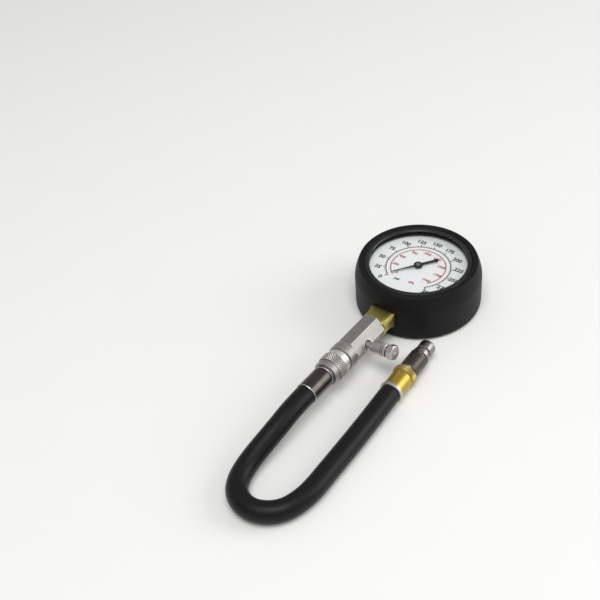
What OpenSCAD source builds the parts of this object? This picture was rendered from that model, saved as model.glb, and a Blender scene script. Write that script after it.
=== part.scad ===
// Engine compression tester: a dial gauge in a rubber boot, a hexagonal adapter with a relief valve,
// a quick coupler, and a rubber hose that ends in a spark plug thread.
// The gauge lies on its back. +Z points out of the dial and the stem runs along -Y.

/* [Gauge case] */
// Outer diameter of the gauge case
case_d = 79.2; // [76:0.2:90]
// Depth of the case from its back to its rim
case_h = 30; // [30:0.5:36]
// Sheet thickness of the case
case_wall = 1.2; // [0.8:0.1:1.6]
// Sheet thickness of the bezel's skirt
bezel_wall = 1; // [0.8:0.1:2]
// How far the bezel's skirt reaches down over the case
bezel_skirt = 4.6; // [3:0.1:5]
// How far the bezel reaches in over the lens
bezel_reach = 4.2; // [3.4:0.1:6]
// Thickness of the bezel over the lens
bezel_lip = 1.4; // [1:0.1:2.5]
// Thickness of the lens
lens_t = 1.6; // [1:0.1:3]
// Thickness of the gasket under the lens
gasket_t = 0.6; // [0.4:0.1:1.5]

/* [Rubber boot] */
// Thickness of the boot's back
boot_back = 3; // [2.5:0.1:6]
// Wall of the boot at its front lip
boot_wall = 2.5; // [2:0.1:5]
// How much further the boot's widest line stands out than its lip
boot_flare = 2.8; // [1:0.1:5]
// Height of the boot's widest line below its front
boot_flare_drop = 12; // [6:0.5:20]
// Thickness of the lip that holds the bezel
boot_lip = 1.6; // [1.3:0.1:1.7]
// How far the lip reaches in over the bezel
boot_overlap = 1.8; // [1:0.1:3]
// How far the lip stands in front of the bezel
lip_proud = 0.4; // [0.2:0.1:1]
// Rounding of the boot's back edge
boot_edge = 4; // [2:0.5:6]
// Rounding of the boot's front edge
lip_round = 1.2; // [0.6:0.1:1.4]
// Depth of the grip grooves round the boot's back face
back_groove = 0.6; // [0.3:0.1:1.2]

/* [Dial and pointer] */
// Distance from the dial's face to the lens
dial_gap = 3.1; // [2.9:0.1:5]
// Thickness of the dial plate
dial_t = 0.8; // [0.5:0.1:1.5]
// Gap between the dial's edge and the case
dial_margin = 0.8; // [0.3:0.1:3]
// Length of the pointer from its centre to its tip
pointer_len = 20.5; // [16:0.5:30]
// Length of the pointer's tail
pointer_tail = 15.5; // [8:0.5:20]
// Thickness of the pointer
pointer_t = 0.5; // [0.3:0.1:0.8]
// Height of the pointer above the dial
pointer_gap = 1.7; // [1.2:0.1:1.8]
// Diameter of the pointer's hub
hub_d = 6.4; // [4:0.2:8]
// Angle of the zero mark, clockwise from the stem
scale_start = 37; // [30:1:50]

/* [Movement] */
// Teeth on the pinion
pinion_teeth = 10; // [10:1:12]
// Turns of the pointer for one turn of the sector
gear_ratio = 8; // [8:1:9]
// Module of the teeth
gear_module = 0.5; // [0.45:0.05:0.5]
// Sweep of the pointer over the whole scale
scale_sweep = 280; // [240:5:290]
// Thickness of the movement's plates
plate_t = 1; // [0.8:0.1:1.2]
// Diameter of the pointer's arbor
arbor_d = 1.5; // [1.2:0.1:2]
// Diameter of the sector's arbor
sector_arbor_d = 2; // [1.6:0.1:2.6]
// Thickness of the sector
sector_t = 1.2; // [0.8:0.1:1.4]
// Arm of the sector's tail
tail_arm = 6.5; // [5.5:0.1:7.5]
// Radius of the curved tube
tube_r = 29; // [28:0.1:31]
// Height of the tube's flattened section
tube_h = 10; // [8:0.2:10.4]
// Thickness of the tube's flattened section
tube_w = 4.4; // [3:0.1:5]
// Wall of the tube
tube_wall = 0.6; // [0.3:0.1:0.9]

/* [Gauge socket] */
// Height of the stem's axis above the case's back
stem_h = 15.5; // [14:0.5:16]
// Width of the socket
socket_w = 18.6; // [17:0.2:19]
// Height of the socket over its two wrench flats
socket_t = 11; // [10.8:0.2:14]
// Diameter of the socket's round part
socket_round_d = 18.4; // [16:0.2:18.6]
// Length of the socket outside the case
socket_len = 18.7; // [12:0.1:30]
// Width of the socket's tongue inside the case
tongue_w = 14; // [12:0.5:16]
// Diameter of the socket's threaded spigot
spigot_d = 10; // [9:0.1:10.2]
// Length of the spigot
spigot_len = 12; // [8:0.5:13]
// Diameter of the gas passage
gas_d = 3; // [2:0.1:4]

/* [Adapter] */
// Width of the hexagon across its flats
hex_af = 17; // [16.5:0.1:22]
// Length of the hexagon
hex_len = 32.5; // [31:0.5:40]
// Angle at which the hexagon comes tight on its thread
adapter_turn = 9; // [0:1:15]
// Gap between the socket and the hexagon
adapter_gap = 0.5; // [0.2:0.1:2]
// Thickness of the seal at the bottom of the adapter's thread
seal_t = 1; // [0.5:0.1:1.5]

/* [Relief valve] */
// Distance of the valve's axis from the hexagon's gauge end
valve_pos = 19.5; // [17:0.1:19.9]
// Diameter of the valve's barrel
valve_d = 9.4; // [7:0.1:9.6]
// Length of the valve's barrel
valve_len = 11.3; // [10:0.1:11.6]
// Diameter of the valve's neck
neck_d = 5.4; // [5.2:0.1:6]
// Length of the neck outside the hexagon's spot face
neck_len = 5.9; // [3:0.1:6.2]
// Diameter of the valve's thread
valve_thread_d = 5.8; // [5:0.1:6]
// Width of the hexagonal button over its corners
button_d = 11.2; // [10:0.1:11.6]
// Length of the button
button_len = 4.6; // [4.4:0.1:4.8]
// Travel of the button
button_travel = 1.4; // [0.5:0.1:1.5]
// Diameter of the valve's stem
stem_d = 1.8; // [1.2:0.1:2]

/* [Quick coupler] */
// Diameter of the coupler's fixed band
band_d = 19.6; // [18:0.1:22]
// Length of the fixed band
band_len = 7; // [5:0.1:12]
// Diameter of the collar that the sleeve slides over
collar_d = 17; // [16.8:0.1:17.4]
// Length of the collar between the band and the sleeve
collar_len = 5.6; // [4:0.1:7]
// Diameter of the sleeve over its knurl
sleeve_d = 20; // [19.6:0.1:22]
// Length of the knurled part of the sleeve
knurl_len = 7.3; // [7:0.1:10]
// Depth of the knurl
knurl_depth = 0.45; // [0.2:0.05:0.6]
// Diameter of the sleeve's plain nose
sleeve_nose_d = 18.2; // [17:0.1:18.6]
// Length of the sleeve's plain nose
sleeve_nose_len = 4.8; // [4.6:0.1:8]
// Travel of the sleeve
sleeve_travel = 2.4; // [2:0.1:2.4]
// Diameter of the plug's nose
plug_d = 9; // [8:0.1:9]
// Wall of the coupler's barrel
barrel_wall = 2.35; // [2.2:0.05:2.4]
// Diameter of the locking balls
ball_d = 2.8; // [2.6:0.1:2.8]
// Locking balls round the plug
ball_count = 6; // [3:1:6]

/* [Hose] */
// Outer diameter of the hose
hose_d = 14.5; // [13:0.1:16]
// Diameter of the hose where a ferrule grips it
crimp_d = 14; // [12:0.1:14.2]
// Wall of the crimped ferrules
ferrule_wall = 0.6; // [0.4:0.1:1]
// Length of the ferrule at the plug
plug_ferrule_len = 18.8; // [14:0.1:22]
// Diameter of the tails that push into the hose
tail_d = 6.6; // [5:0.1:7]

/* [Spark plug end] */
// Diameter of the spark plug thread
thread_d = 14; // [12:0.5:14]
// Length of the spark plug thread
thread_len = 17.4; // [9:0.1:19]
// Chamfer on the thread's first turn
thread_chamfer = 0.7; // [0.5:0.1:1.5]
// Diameter of the knurled grip ring
grip_d = 16.8; // [15.8:0.1:16.8]
// Length of the grip ring
grip_len = 5.7; // [5:0.1:10]
// Diameter of the gold ferrule
end_ferrule_d = 15.2; // [14:0.1:16]
// Length of the gold ferrule
end_ferrule_len = 13.4; // [10:0.1:20]
// Diameter of the silver ring where the hose enters
end_ring_d = 16.8; // [16.8:0.1:18]
// Length of the silver ring
end_ring_len = 2.6; // [1:0.1:5]
// Step from the thread's crest down to the pilot in front of it
pilot_step = 0.8; // [0.6:0.1:1.4]
// Length of the pilot
pilot_len = 3.6; // [3:0.1:10]
// Step from the thread's crest down to the tip
tip_step = 1.2; // [1:0.1:2]
// Length of the tip
tip_len = 8; // [5:0.1:10]
// Distance of the fitting's axis from the stem's axis
far_x = 40.4; // [40.2:0.1:45]
// Distance of the fitting's hose end in front of the gauge's centre
far_y = 99.5; // [95:0.1:110]
// Angle at which the fitting points in towards the gauge
far_turn = 3; // [0:0.5:3]
// Travel of the valve core's pin
core_travel = 1; // [0.5:0.1:1.2]

/* [Fits] */
// Clearance between pieces that fit closely or run on each other
fit = 0.05; // [0.03:0.01:0.08]
// Clearance between pieces that pass each other
gap = 0.3; // [0.2:0.05:0.4]

/* [Hidden] */
$fn = 64;

// Heights of the case, lens and lip, counted from the boot's back
case_r = case_d / 2;
case_in_r = case_r - case_wall;
case_rim_z = boot_back + case_h;
lens_z = case_rim_z + gasket_t;
lens_top_z = lens_z + lens_t;
bezel_top_z = lens_top_z + bezel_lip;
boot_h = bezel_top_z + lip_proud;
lip_z = boot_h - boot_lip;
lens_r = case_r - 4 * fit;
bezel_r = case_r + fit + bezel_wall;
bezel_open_r = case_r - bezel_reach;
lip_r = bezel_r - boot_overlap;
cavity_r = bezel_r + 2 * fit;
rim_r = cavity_r + boot_wall;
boot_r = rim_r + boot_flare;
case_corner = 2;
bezel_edge = 0.4;
edge = 0.5;
slot_cut = 0.5;
groove_w = 1.6;
flare_steps = 8;
flare_power = 1.6;

// Dial and pointer
dial_z = lens_z - dial_gap - dial_t;
dial_r = case_in_r - dial_margin;
dial_hole_r = 2.4;
dial_screw_r = 17;
dial_screw_turn = 43;
dial_screw_d = 1.6;
dial_screw_head_d = 2.8;
dial_screw_head_t = 0.5;
pointer_z = dial_z + dial_t + pointer_gap;
needle_base_w = 1.5;
needle_tip_w = 0.45;
tail_w = 2;
tail_end_r = 1.7;
hub_skirt = 0.5;

// Levels of the movement
stem_z = boot_back + stem_h;
tongue_rise = 3.5;
tongue_end_s = 12.1;
tongue_top = stem_z + tongue_rise;
plate_lo_top = tongue_top + plate_t;
dial_pad = 0.7;
plate_hi_z = dial_z - dial_pad - plate_t;
sector_lift = 2;
sector_z = plate_lo_top + sector_lift;
link_t = 0.8;
link_z = sector_z + sector_t + gap;
hair_h = 0.8;
hair_z = sector_z + sector_t + 1.5 * gap;
tube_z = stem_z - 2.5;

// Gear train and linkage, seen from the front
sector_teeth = pinion_teeth * gear_ratio;
pressure = 20;
backlash = 0.16;
pinion_r = gear_module * pinion_teeth / 2;
sector_r = gear_module * sector_teeth / 2;
addendum = 0.8 * gear_module;
dedendum = 1.25 * gear_module;
pivot_dir = -45;
pivot = polar(pivot_dir, pinion_r + sector_r + fit);
swing = scale_sweep / gear_ratio;
mesh_dir = pivot_dir + 180;
first_tooth = -floor(swing * sector_teeth / 360) - 3;
last_tooth = 2;
rim_depth = 2.4;
arm_w = 3;
tip_half = 4;
tip_turn = 15;
tip_dir = tip_turn - tip_half;
tip_pos = polar(tip_dir, tube_r);
tube_sweep = 247;
reach = norm(tip_pos - pivot);
tail_mid = atan2(tip_pos[1] - pivot[1], tip_pos[0] - pivot[0]) - acos(tail_arm / reach);
tail_dir = tail_mid - swing / 2;
tail_pos = pivot + polar(tail_dir, tail_arm);
link_pin_d = 1.2;
link_w = 2.6;
link_vec = (tip_pos - tail_pos) / norm(tip_pos - tail_pos);
link_slip = 2 * tail_arm * sin(swing / 2);
slot_side = tail_arm * (1 - cos(swing / 2)) + gap;
slot_w = link_pin_d + 2 * slot_side;
slot_rim = 0.9;
pillar_d = 3;
pillar_near = polar(pivot_dir + 180, 7.2);
pillar_far = pivot + polar(-100, 6);
plate_foot = [0, -26];
plate_w = 10;
plate_web = 7;
dial_web = 3.6;
dial_post_d = 5;
hair_turns = 3.5;
hair_in_r = 1.5;
hair_out_r = norm(pillar_near) - pillar_d / 2 - fit;
hair_t = 0.25;
movement_screw_y = [-17, -26];
movement_screw_d = 2;
movement_screw_head_d = 3.6;
movement_screw_head_t = 1;
movement_screw_len = 4;

// Stations along the stem, counted out from the gauge's centre
block_s = case_r + gap;
block_end_s = block_s + socket_len;
spigot_end_s = block_end_s + spigot_len;
hex_s = block_end_s + adapter_gap;
hex_end_s = hex_s + hex_len;
seal_s = spigot_end_s;
valve_s = hex_s + valve_pos;
gas_r = gas_d / 2;
socket_round_r = socket_round_d / 2;
socket_shoulder = boot_r - block_s;
socket_taper = 3.5;
hex_slope = 30;
hex_corner_r = hex_af / 2 / cos(30);
case_screw_y = [21.6 - case_r, 7.6 - case_r];
case_screw_d = 4;
case_screw_head_d = 7;
case_screw_head_t = 1.6;
case_screw_len = 5;

// Relief valve, counted out from the stem's axis
spot_r = neck_d / 2 + 0.9;
spot_x = hex_corner_r - spot_r * tan(30);
thread_in_x = gas_d + 0.4;
barrel_x = spot_x + neck_len;
barrel_end_x = barrel_x + valve_len;
nose_r = valve_d / 2 - 2;
nose_len = button_travel + 1.2;
button_x = barrel_end_x + button_travel + gap;
button_end_x = button_x + button_len;
button_bore = nose_len + gap;
chamber_r = valve_thread_d / 2 - 0.6;
seat_x = spot_x - edge;
seal_r = chamber_r - gap;
relief_seal_t = 1.4;
stem_head_t = 1;
coil_seat_x = barrel_end_x - 6;
relief_wire = 0.5;
relief_coil_r = stem_d / 2 + relief_wire / 2 + 2 * fit;
coil_room_r = relief_coil_r + relief_wire / 2 + 2 * fit;
stem_hold = 1.2;
valve_grooves = 2;

// Quick coupler, counted out from the gauge's centre
band_s = hex_end_s;
band_end_s = band_s + band_len;
coupler_spigot_d = 9.6;
coupler_spigot_len = 8;
bore_r = plug_d / 2 + fit;
barrel_r = bore_r + barrel_wall;
collar_r = collar_d / 2;
collar_in = 1.3;
collar_wall = 0.5;
pocket_r = collar_r - collar_wall;
sleeve_s = band_end_s + collar_len;
collar_end_s = sleeve_s + collar_in;
counter_end_s = collar_end_s + sleeve_travel + gap;
nose_s = sleeve_s + knurl_len;
sleeve_end_s = nose_s + sleeve_nose_len;
sleeve_bore_r = barrel_r + 1.6 * fit;
snap_t = 0.8;
snap_s = sleeve_end_s + 2 * fit;
snap_in_r = barrel_r - 0.6;
snap_out_r = barrel_r + 0.9;
coupler_end_s = snap_s + snap_t + 0.4;
bore_s = band_end_s + 0.6;
plug_s = bore_s + gap;
ball_r = ball_d / 2;
ball_s = counter_end_s + ball_r + edge;
ball_orbit = barrel_r - ball_r;
ball_groove_r = ball_orbit - ball_r - 2 * fit;
release_s = ball_s + ball_r - fit;
release_end_s = release_s + sleeve_travel + 2 * fit;
release_r = sleeve_bore_r + 0.6;
coupler_wire = 0.7;
coupler_coil_r = (barrel_r + pocket_r) / 2;
oring_d = 1.4;
oring_s = bore_s + 2.8;
oring_r = bore_r + fit + oring_d / 2;
knurl_columns = 60;
knurl_rows = 8;
band_edge = 0.8;

// Plug, ferrules and hose
shoulder_s = coupler_end_s + gap;
shoulder_len = 1.5;
shoulder_d = 12.8;
ferrule_s = shoulder_s + shoulder_len;
ferrule_end_s = ferrule_s + plug_ferrule_len;
ferrule_floor = 1.2;
crimp_r = crimp_d / 2;
ferrule_r = crimp_r + fit + ferrule_wall;
ferrule_bead = 0.9;
hose_r = hose_d / 2;
tail_r = tail_d / 2;
tail_short = 2;
hose_bore_r = tail_r + fit;

// Spark plug end, counted towards the gauge from the fitting's hose end
far_z = end_ring_d / 2;
end_ferrule_r = end_ferrule_d / 2;
end_crimp_r = end_ferrule_r - ferrule_wall - fit;
end_ferrule_h = end_ring_len;
grip_h = end_ferrule_h + end_ferrule_len;
grip_seat_r = thread_d / 2 - 0.6;
grip_ridges = 40;
grip_ridge_depth = 0.35;
thread_h = grip_h + grip_len;
pilot_h = thread_h + thread_len + thread_chamfer;
neck_h = pilot_h + pilot_len;
neck_groove = 1.6;
tip_h = neck_h + neck_groove;
end_h = tip_h + tip_len;
tip_edge = 1.8;
core_r = 2.5;
core_len = 10;
core_h = end_h - core_len - 0.8;
core_pin_r = 0.6;
core_head_r = 1.1;
core_head_t = 0.8;
core_wire = 0.3;
core_room_r = 1.9;
core_room_len = 5;
core_coil_r = core_pin_r + core_wire / 2 + 3 * fit;

// Route of the hose over the floor, from the plug's ferrule round to the spark plug end
hose_route = [[0, -146, 18.4], [0, -157, 17.6], [0, -168, 15.8], [-0.5, -180, 13.2], [-1, -192, 10.6],
    [-0.5, -203, 8.6], [2, -213, 7.6], [7, -220.5, 7.3], [15, -225, 7.3], [24, -225.5, 7.3],
    [33, -221.5, 7.3], [39.5, -214.5, 7.3], [43, -205, 7.3], [44.5, -193, 7.3], [44, -176, 7.3],
    [43.3, -158, 7.3], [42.5, -140, 7.4], [41.7, -124, 7.7], [41, -111, 8.2]];
hose_sides = 12;
hose_steps = 3;
hose_step_in = 0.6;

function polar(a, r) = [r * cos(a), r * sin(a)];

// Place on the dial, clockwise from the stem as the reader sees it
function dial_place(a, r) = [-r * sin(a), -r * cos(a)];

function arc_points(centre, r, from, to, steps) =
    [for (i = [0:steps]) centre + polar(from + (to - from) * i / steps, r)];

// Angle between a tooth's middle and its involute flank at radius r
function involute(base, r) = r <= base ? 0 : tan(acos(base / r)) * 180 / PI - acos(base / r);

function flank(teeth, r) =
    let (pitch = gear_module * teeth / 2)
    let (base = pitch * cos(pressure))
    (PI * gear_module - 2 * backlash) / 4 / pitch * 180 / PI + involute(base, pitch) - involute(base, r);

function tooth(teeth, a, root, tip, steps = 4) = concat(
    [for (i = [0:steps]) let (r = root + (tip - root) * i / steps) polar(a - flank(teeth, r), r)],
    [for (i = [steps:-1:0]) let (r = root + (tip - root) * i / steps) polar(a + flank(teeth, r), r)]);

// Point and direction on a smooth curve through four neighbouring route points
function curve_point(p, t) = 0.5 * (2 * p[1] + (p[2] - p[0]) * t
    + (2 * p[0] - 5 * p[1] + 4 * p[2] - p[3]) * t * t
    + (3 * p[1] - p[0] - 3 * p[2] + p[3]) * t * t * t);

function curve_slope(p, t) = 0.5 * (p[2] - p[0] + 2 * (2 * p[0] - 5 * p[1] + 4 * p[2] - p[3]) * t
    + 3 * (3 * p[1] - p[0] - 3 * p[2] + p[3]) * t * t);

function unit(v) = v / norm(v);

// One ring of points round a place, square to a direction
function ring_points(place, along, r, sides) =
    let (side = unit(cross(along, [0, 0, 1])))
    let (rise = cross(side, unit(along)))
    [for (i = [0:sides - 1]) place + r * cos(360 * i / sides) * side + r * sin(360 * i / sides) * rise];

// Closed solid through rings of the same number of points
module skin(rings) {
    sides = len(rings[0]);
    last = len(rings) - 1;
    faces = concat(
        [[for (i = [0:sides - 1]) i]],
        [[for (i = [sides - 1:-1:0]) last * sides + i]],
        [for (j = [0:last - 1]) for (i = [0:sides - 1])
            let (k = (i + 1) % sides)
            [j * sides + i, (j + 1) * sides + i, (j + 1) * sides + k, j * sides + k]]);
    polyhedron([for (ring = rings) each ring], faces, convexity = 6);
}

// Wire coil that rises from z = 0 to its length
module coil(r, wire, length, turns, per_turn = 12) {
    steps = turns * per_turn;
    rise = (length - wire) / steps;
    skin([for (i = [0:steps])
        let (a = 360 * i / per_turn)
        let (out = [cos(a), sin(a), 0])
        let (up = [0, 0, 1])
        [for (k = [5:-1:0])
            out * (r + wire / 2 * cos(60 * k)) + up * (wire / 2 + rise * i + wire / 2 * sin(60 * k))]]);
}

// Solid of revolution from points of radius and height
module turned(points) {
    rotate_extrude() polygon(points);
}

module ring(r_in, r_out, h) {
    difference() {
        cylinder(r = r_out, h = h);
        translate([0, 0, -1]) cylinder(r = r_in, h = h + 2);
    }
}

// Flat strip between two places
module web(from, to, w) {
    d = to - from;
    translate(from) rotate(atan2(d[1], d[0])) translate([0, -w / 2]) square([norm(d), w]);
}

// Bar with round ends between two places
module bar(from, to, w) {
    translate(from) circle(d = w);
    translate(to) circle(d = w);
    web(from, to, w);
}

// Flattened round section, standing on its end
module oval(w, h) {
    square([w, h - w], center = true);
    translate([0, (h - w) / 2]) circle(d = w);
    translate([0, -(h - w) / 2]) circle(d = w);
}

// Round bar whose surface is raised to diamonds
module diamond_bar(r, depth, length, columns, rows) {
    points = [for (j = [0:rows]) for (i = [0:columns - 1])
        let (edge = j == 0 || j == rows)
        let (low = edge || (i + j) % 2 == 1)
        polar(360 * i / columns, low ? r - depth : r)];
    cells = [for (j = [0:rows - 1]) for (i = [0:columns - 1])
        let (k = (i + 1) % columns)
        let (a = j * columns + i)
        let (b = j * columns + k)
        let (c = a + columns)
        let (d = b + columns)
        each (i + j) % 2 == 0 ? [[a, c, b], [b, c, d]] : [[a, d, b], [a, c, d]]];
    heights = [for (j = [0:rows]) for (i = [0:columns - 1]) length * j / rows];
    polyhedron(
        [for (n = [0:len(points) - 1]) [points[n][0], points[n][1], heights[n]]],
        concat([[for (i = [0:columns - 1]) i]],
            [[for (i = [columns - 1:-1:0]) rows * columns + i]], cells),
        convexity = 4);
}

// Places: out along the stem, out along the relief valve, and along the spark plug end
module on_stem(s) {
    translate([0, -s, stem_z]) rotate([90, 0, 0]) children();
}

module on_valve(x) {
    translate([0, -valve_s, stem_z]) rotate([0, -adapter_turn, 0]) translate([x, 0, 0]) rotate([0, 90, 0])
        children();
}

module on_far(h) {
    translate([far_x, -far_y, far_z]) rotate(far_turn) translate([0, h, 0]) rotate([-90, 0, 0]) children();
}

module rubber_boot() {
    opening_w = socket_w + 2 * gap;
    opening_h = socket_t + 2 * gap;
    lip_arc = arc_points([rim_r - lip_round, boot_h - lip_round], lip_round, 20, 90, 5);
    flare_z = boot_h - boot_flare_drop;
    color("#232324") difference() {
        turned(concat(
            [[0, 0]],
            arc_points([boot_r - boot_edge, boot_edge], boot_edge, -90, 0, 6),
            [for (i = [0:flare_steps - 1])
                let (t = i / flare_steps)
                [boot_r - (boot_r - lip_arc[0][0]) * pow(t, flare_power),
                    flare_z + (lip_arc[0][1] - flare_z) * t]],
            lip_arc,
            [[lip_r + gap, boot_h], [lip_r, boot_h - gap], [lip_r, lip_z], [cavity_r, lip_z],
                [cavity_r, boot_back], [0, boot_back]]));
        translate([-opening_w / 2, -boot_r - 1, stem_z - opening_h / 2])
            cube([opening_w, boot_r + 1 - cavity_r + socket_w / 2, opening_h]);
        for (y = case_screw_y)
            translate([0, y, boot_back - case_screw_head_t - gap])
                cylinder(d = case_screw_head_d + 2 * gap, h = case_screw_head_t + gap + 1);
        for (r = [cavity_r - 14, cavity_r - 8, cavity_r - 2])
            translate([0, 0, -1]) ring(r - groove_w / 2, r + groove_w / 2, 1 + back_groove);
    }
}

module gauge_case() {
    door = tongue_w + 4 * fit;
    color("#2b2b2d") difference() {
        turned(concat(
            [[0, boot_back]],
            arc_points([case_r - case_corner, boot_back + case_corner], case_corner, -90, 0, 5),
            [[case_r, case_rim_z], [case_in_r, case_rim_z], [case_in_r, boot_back + case_wall],
                [0, boot_back + case_wall]]));
        translate([-door / 2, -case_r - 1, boot_back + case_wall])
            cube([door, case_r / 2, tongue_top + 2 * fit - boot_back - case_wall]);
        for (y = case_screw_y)
            translate([0, y, boot_back - 1]) cylinder(d = case_screw_d + 2 * fit, h = case_wall + 2);
    }
}

module bezel_ring() {
    skirt_z = case_rim_z - bezel_skirt;
    inner_r = case_r + fit;
    crown_r = lip_r - 2 * fit;
    color("#1d1d1f") turned([
        [inner_r, skirt_z], [bezel_r, skirt_z], [bezel_r, lip_z - 2 * fit], [crown_r, lip_z - 2 * fit],
        [crown_r, bezel_top_z - bezel_edge], [crown_r - bezel_edge, bezel_top_z],
        [bezel_open_r + bezel_edge, bezel_top_z], [bezel_open_r, bezel_top_z - bezel_edge],
        [bezel_open_r, lens_top_z],
        [inner_r, lens_top_z]]);
}

module lens() {
    color("#e8f1f5", 0.3) translate([0, 0, lens_z]) cylinder(r = lens_r, h = lens_t);
}

module lens_gasket() {
    color("#161616") translate([0, 0, case_rim_z]) ring(bezel_open_r, lens_r, gasket_t);
}

module dial_plate() {
    color("#f4f6f6") translate([0, 0, dial_z]) difference() {
        cylinder(r = dial_r, h = dial_t);
        translate([0, 0, -1]) cylinder(r = dial_hole_r, h = dial_t + 2);
        for (side = [-1, 1])
            translate(dial_place(side * dial_screw_turn, dial_screw_r))
                translate([0, 0, -1]) cylinder(d = dial_screw_d + 2 * fit, h = dial_t + 2);
    }
}

module dial_screws() {
    color("#d9dadb") for (side = [-1, 1])
        translate(dial_place(side * dial_screw_turn, dial_screw_r)) {
            translate([0, 0, dial_z + dial_t]) difference() {
                cylinder(d = dial_screw_head_d, h = dial_screw_head_t);
                translate([-dial_screw_head_d, -slot_cut / 2, dial_screw_head_t / 2])
                    cube([2 * dial_screw_head_d, slot_cut, 1]);
            }
            translate([0, 0, plate_hi_z]) cylinder(d = dial_screw_d, h = dial_z + dial_t - plate_hi_z);
        }
}

module pointer() {
    color("#141415") rotate(-90 - scale_start) difference() {
        union() {
            translate([0, 0, pointer_z]) linear_extrude(pointer_t) {
                polygon([[0, -needle_base_w / 2], [pointer_len, -needle_tip_w / 2],
                    [pointer_len, needle_tip_w / 2], [0, needle_base_w / 2]]);
                translate([-pointer_tail + tail_end_r, -tail_w / 2])
                    square([pointer_tail - tail_end_r, tail_w]);
                translate([-pointer_tail + tail_end_r, 0]) circle(r = tail_end_r);
            }
            translate([0, 0, pointer_z - hub_skirt])
                cylinder(d = hub_d, h = pointer_t + 2 * hub_skirt - gap);
        }
        translate([0, 0, pointer_z - hub_skirt - 1]) cylinder(d = arbor_d + fit, h = hub_skirt + 1.2);
    }
}

module pointer_arbor() {
    gear_tip = pinion_r + addendum;
    gear_root = pinion_r - dedendum;
    foot_z = tongue_top - plate_t / 2;
    color("#c8a24a") {
        translate([0, 0, foot_z]) cylinder(d = arbor_d, h = pointer_z - foot_z);
        translate([0, 0, sector_z - 0.4]) linear_extrude(sector_t + 0.8) polygon(
            [for (i = [0:pinion_teeth - 1])
                each tooth(pinion_teeth, pivot_dir + (i + 0.5) * 360 / pinion_teeth, gear_root, gear_tip)]);
    }
}

module hairspring() {
    steps = hair_turns * 18;
    start = atan2(pillar_near[1], pillar_near[0]) - 360 * hair_turns;
    function hair_r(i) = hair_in_r + (hair_out_r - hair_in_r) * i / steps;
    color("#9aa0a8") translate([0, 0, hair_z]) {
        linear_extrude(hair_h) polygon(concat(
            [for (i = [0:steps]) polar(start + 20 * i, hair_r(i))],
            [for (i = [steps:-1:0]) polar(start + 20 * i, hair_r(i) - hair_t)]));
        ring(arbor_d / 2 + fit, hair_in_r - hair_t / 2, hair_h);
    }
}

module sector_gear() {
    root = sector_r - dedendum;
    pitch_turn = 360 / sector_teeth;
    low = mesh_dir + (first_tooth - 0.5) * pitch_turn;
    high = mesh_dir + (last_tooth + 0.5) * pitch_turn;
    color("#c8a24a") translate(pivot) {
        translate([0, 0, sector_z]) linear_extrude(sector_t) difference() {
            union() {
                polygon(concat(
                    [polar(low, root)],
                    [for (i = [first_tooth:last_tooth])
                        each tooth(sector_teeth, mesh_dir + i * pitch_turn, root, sector_r + addendum)],
                    [polar(high, root)],
                    arc_points([0, 0], root - rim_depth, high, low, 12)));
                bar([0, 0], polar(low + 3, root - rim_depth / 2), rim_depth);
                bar([0, 0], polar(high - 3, root - rim_depth / 2), rim_depth);
                bar([0, 0], polar(tail_dir, tail_arm), arm_w);
                circle(d = sector_arbor_d + arm_w);
            }
            translate(polar(tail_dir, tail_arm)) circle(d = link_pin_d + 2 * fit);
        }
        translate([0, 0, tongue_top + gap])
            cylinder(d = sector_arbor_d, h = plate_hi_z + plate_t - tongue_top - 2 * gap);
    }
}

module link_bar() {
    slot_end = tip_pos + link_vec * gap;
    slot_start = tip_pos - link_vec * (link_slip + gap);
    color("#c8a24a") {
        translate([0, 0, link_z]) linear_extrude(link_t) difference() {
            union() {
                bar(tail_pos, tip_pos, link_w);
                bar(slot_start, slot_end, slot_w + 2 * slot_rim);
            }
            bar(slot_start, slot_end, slot_w);
        }
        translate(tail_pos) translate([0, 0, sector_z - gap])
            cylinder(d = link_pin_d, h = link_z - sector_z + gap + link_t);
    }
}

// Holes for both arbors, common to the movement's two plates
module arbor_holes() {
    circle(d = arbor_d + 2 * fit);
    translate(pivot) circle(d = sector_arbor_d + 2 * fit);
}

module movement_bottom_plate() {
    color("#c2a050") translate([0, 0, tongue_top]) linear_extrude(plate_t) difference() {
        union() {
            for (place = [[0, 0], pivot, plate_foot, pillar_near, pillar_far])
                translate(place) circle(d = plate_w);
            web([0, 0], pivot, plate_web);
            web([0, 0], plate_foot, plate_web);
            web(pivot, plate_foot, plate_web);
        }
        arbor_holes();
        for (y = movement_screw_y) translate([0, y]) circle(d = movement_screw_d + 2 * fit);
    }
}

module movement_top_plate() {
    color("#c2a050") difference() {
        union() {
            translate([0, 0, plate_hi_z]) linear_extrude(plate_t) {
                for (place = [[0, 0], pivot, pillar_near, pillar_far])
                    translate(place) circle(d = plate_w);
                web([0, 0], pivot, plate_web);
                web([0, 0], dial_place(dial_screw_turn, dial_screw_r), dial_web);
            }
            for (side = [-1, 1])
                translate(dial_place(side * dial_screw_turn, dial_screw_r))
                    translate([0, 0, plate_hi_z]) cylinder(d = dial_post_d, h = plate_t + dial_pad);
        }
        translate([0, 0, plate_hi_z - 1]) linear_extrude(plate_t + 2) arbor_holes();
        for (side = [-1, 1])
            translate(dial_place(side * dial_screw_turn, dial_screw_r))
                translate([0, 0, plate_hi_z - 1])
                    cylinder(d = dial_screw_d + 2 * fit, h = plate_t + dial_pad + 2);
    }
}

module movement_pillars() {
    color("#b8954a") for (place = [pillar_near, pillar_far])
        translate(place) translate([0, 0, plate_lo_top])
            cylinder(d = pillar_d, h = plate_hi_z - plate_lo_top);
}

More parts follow.
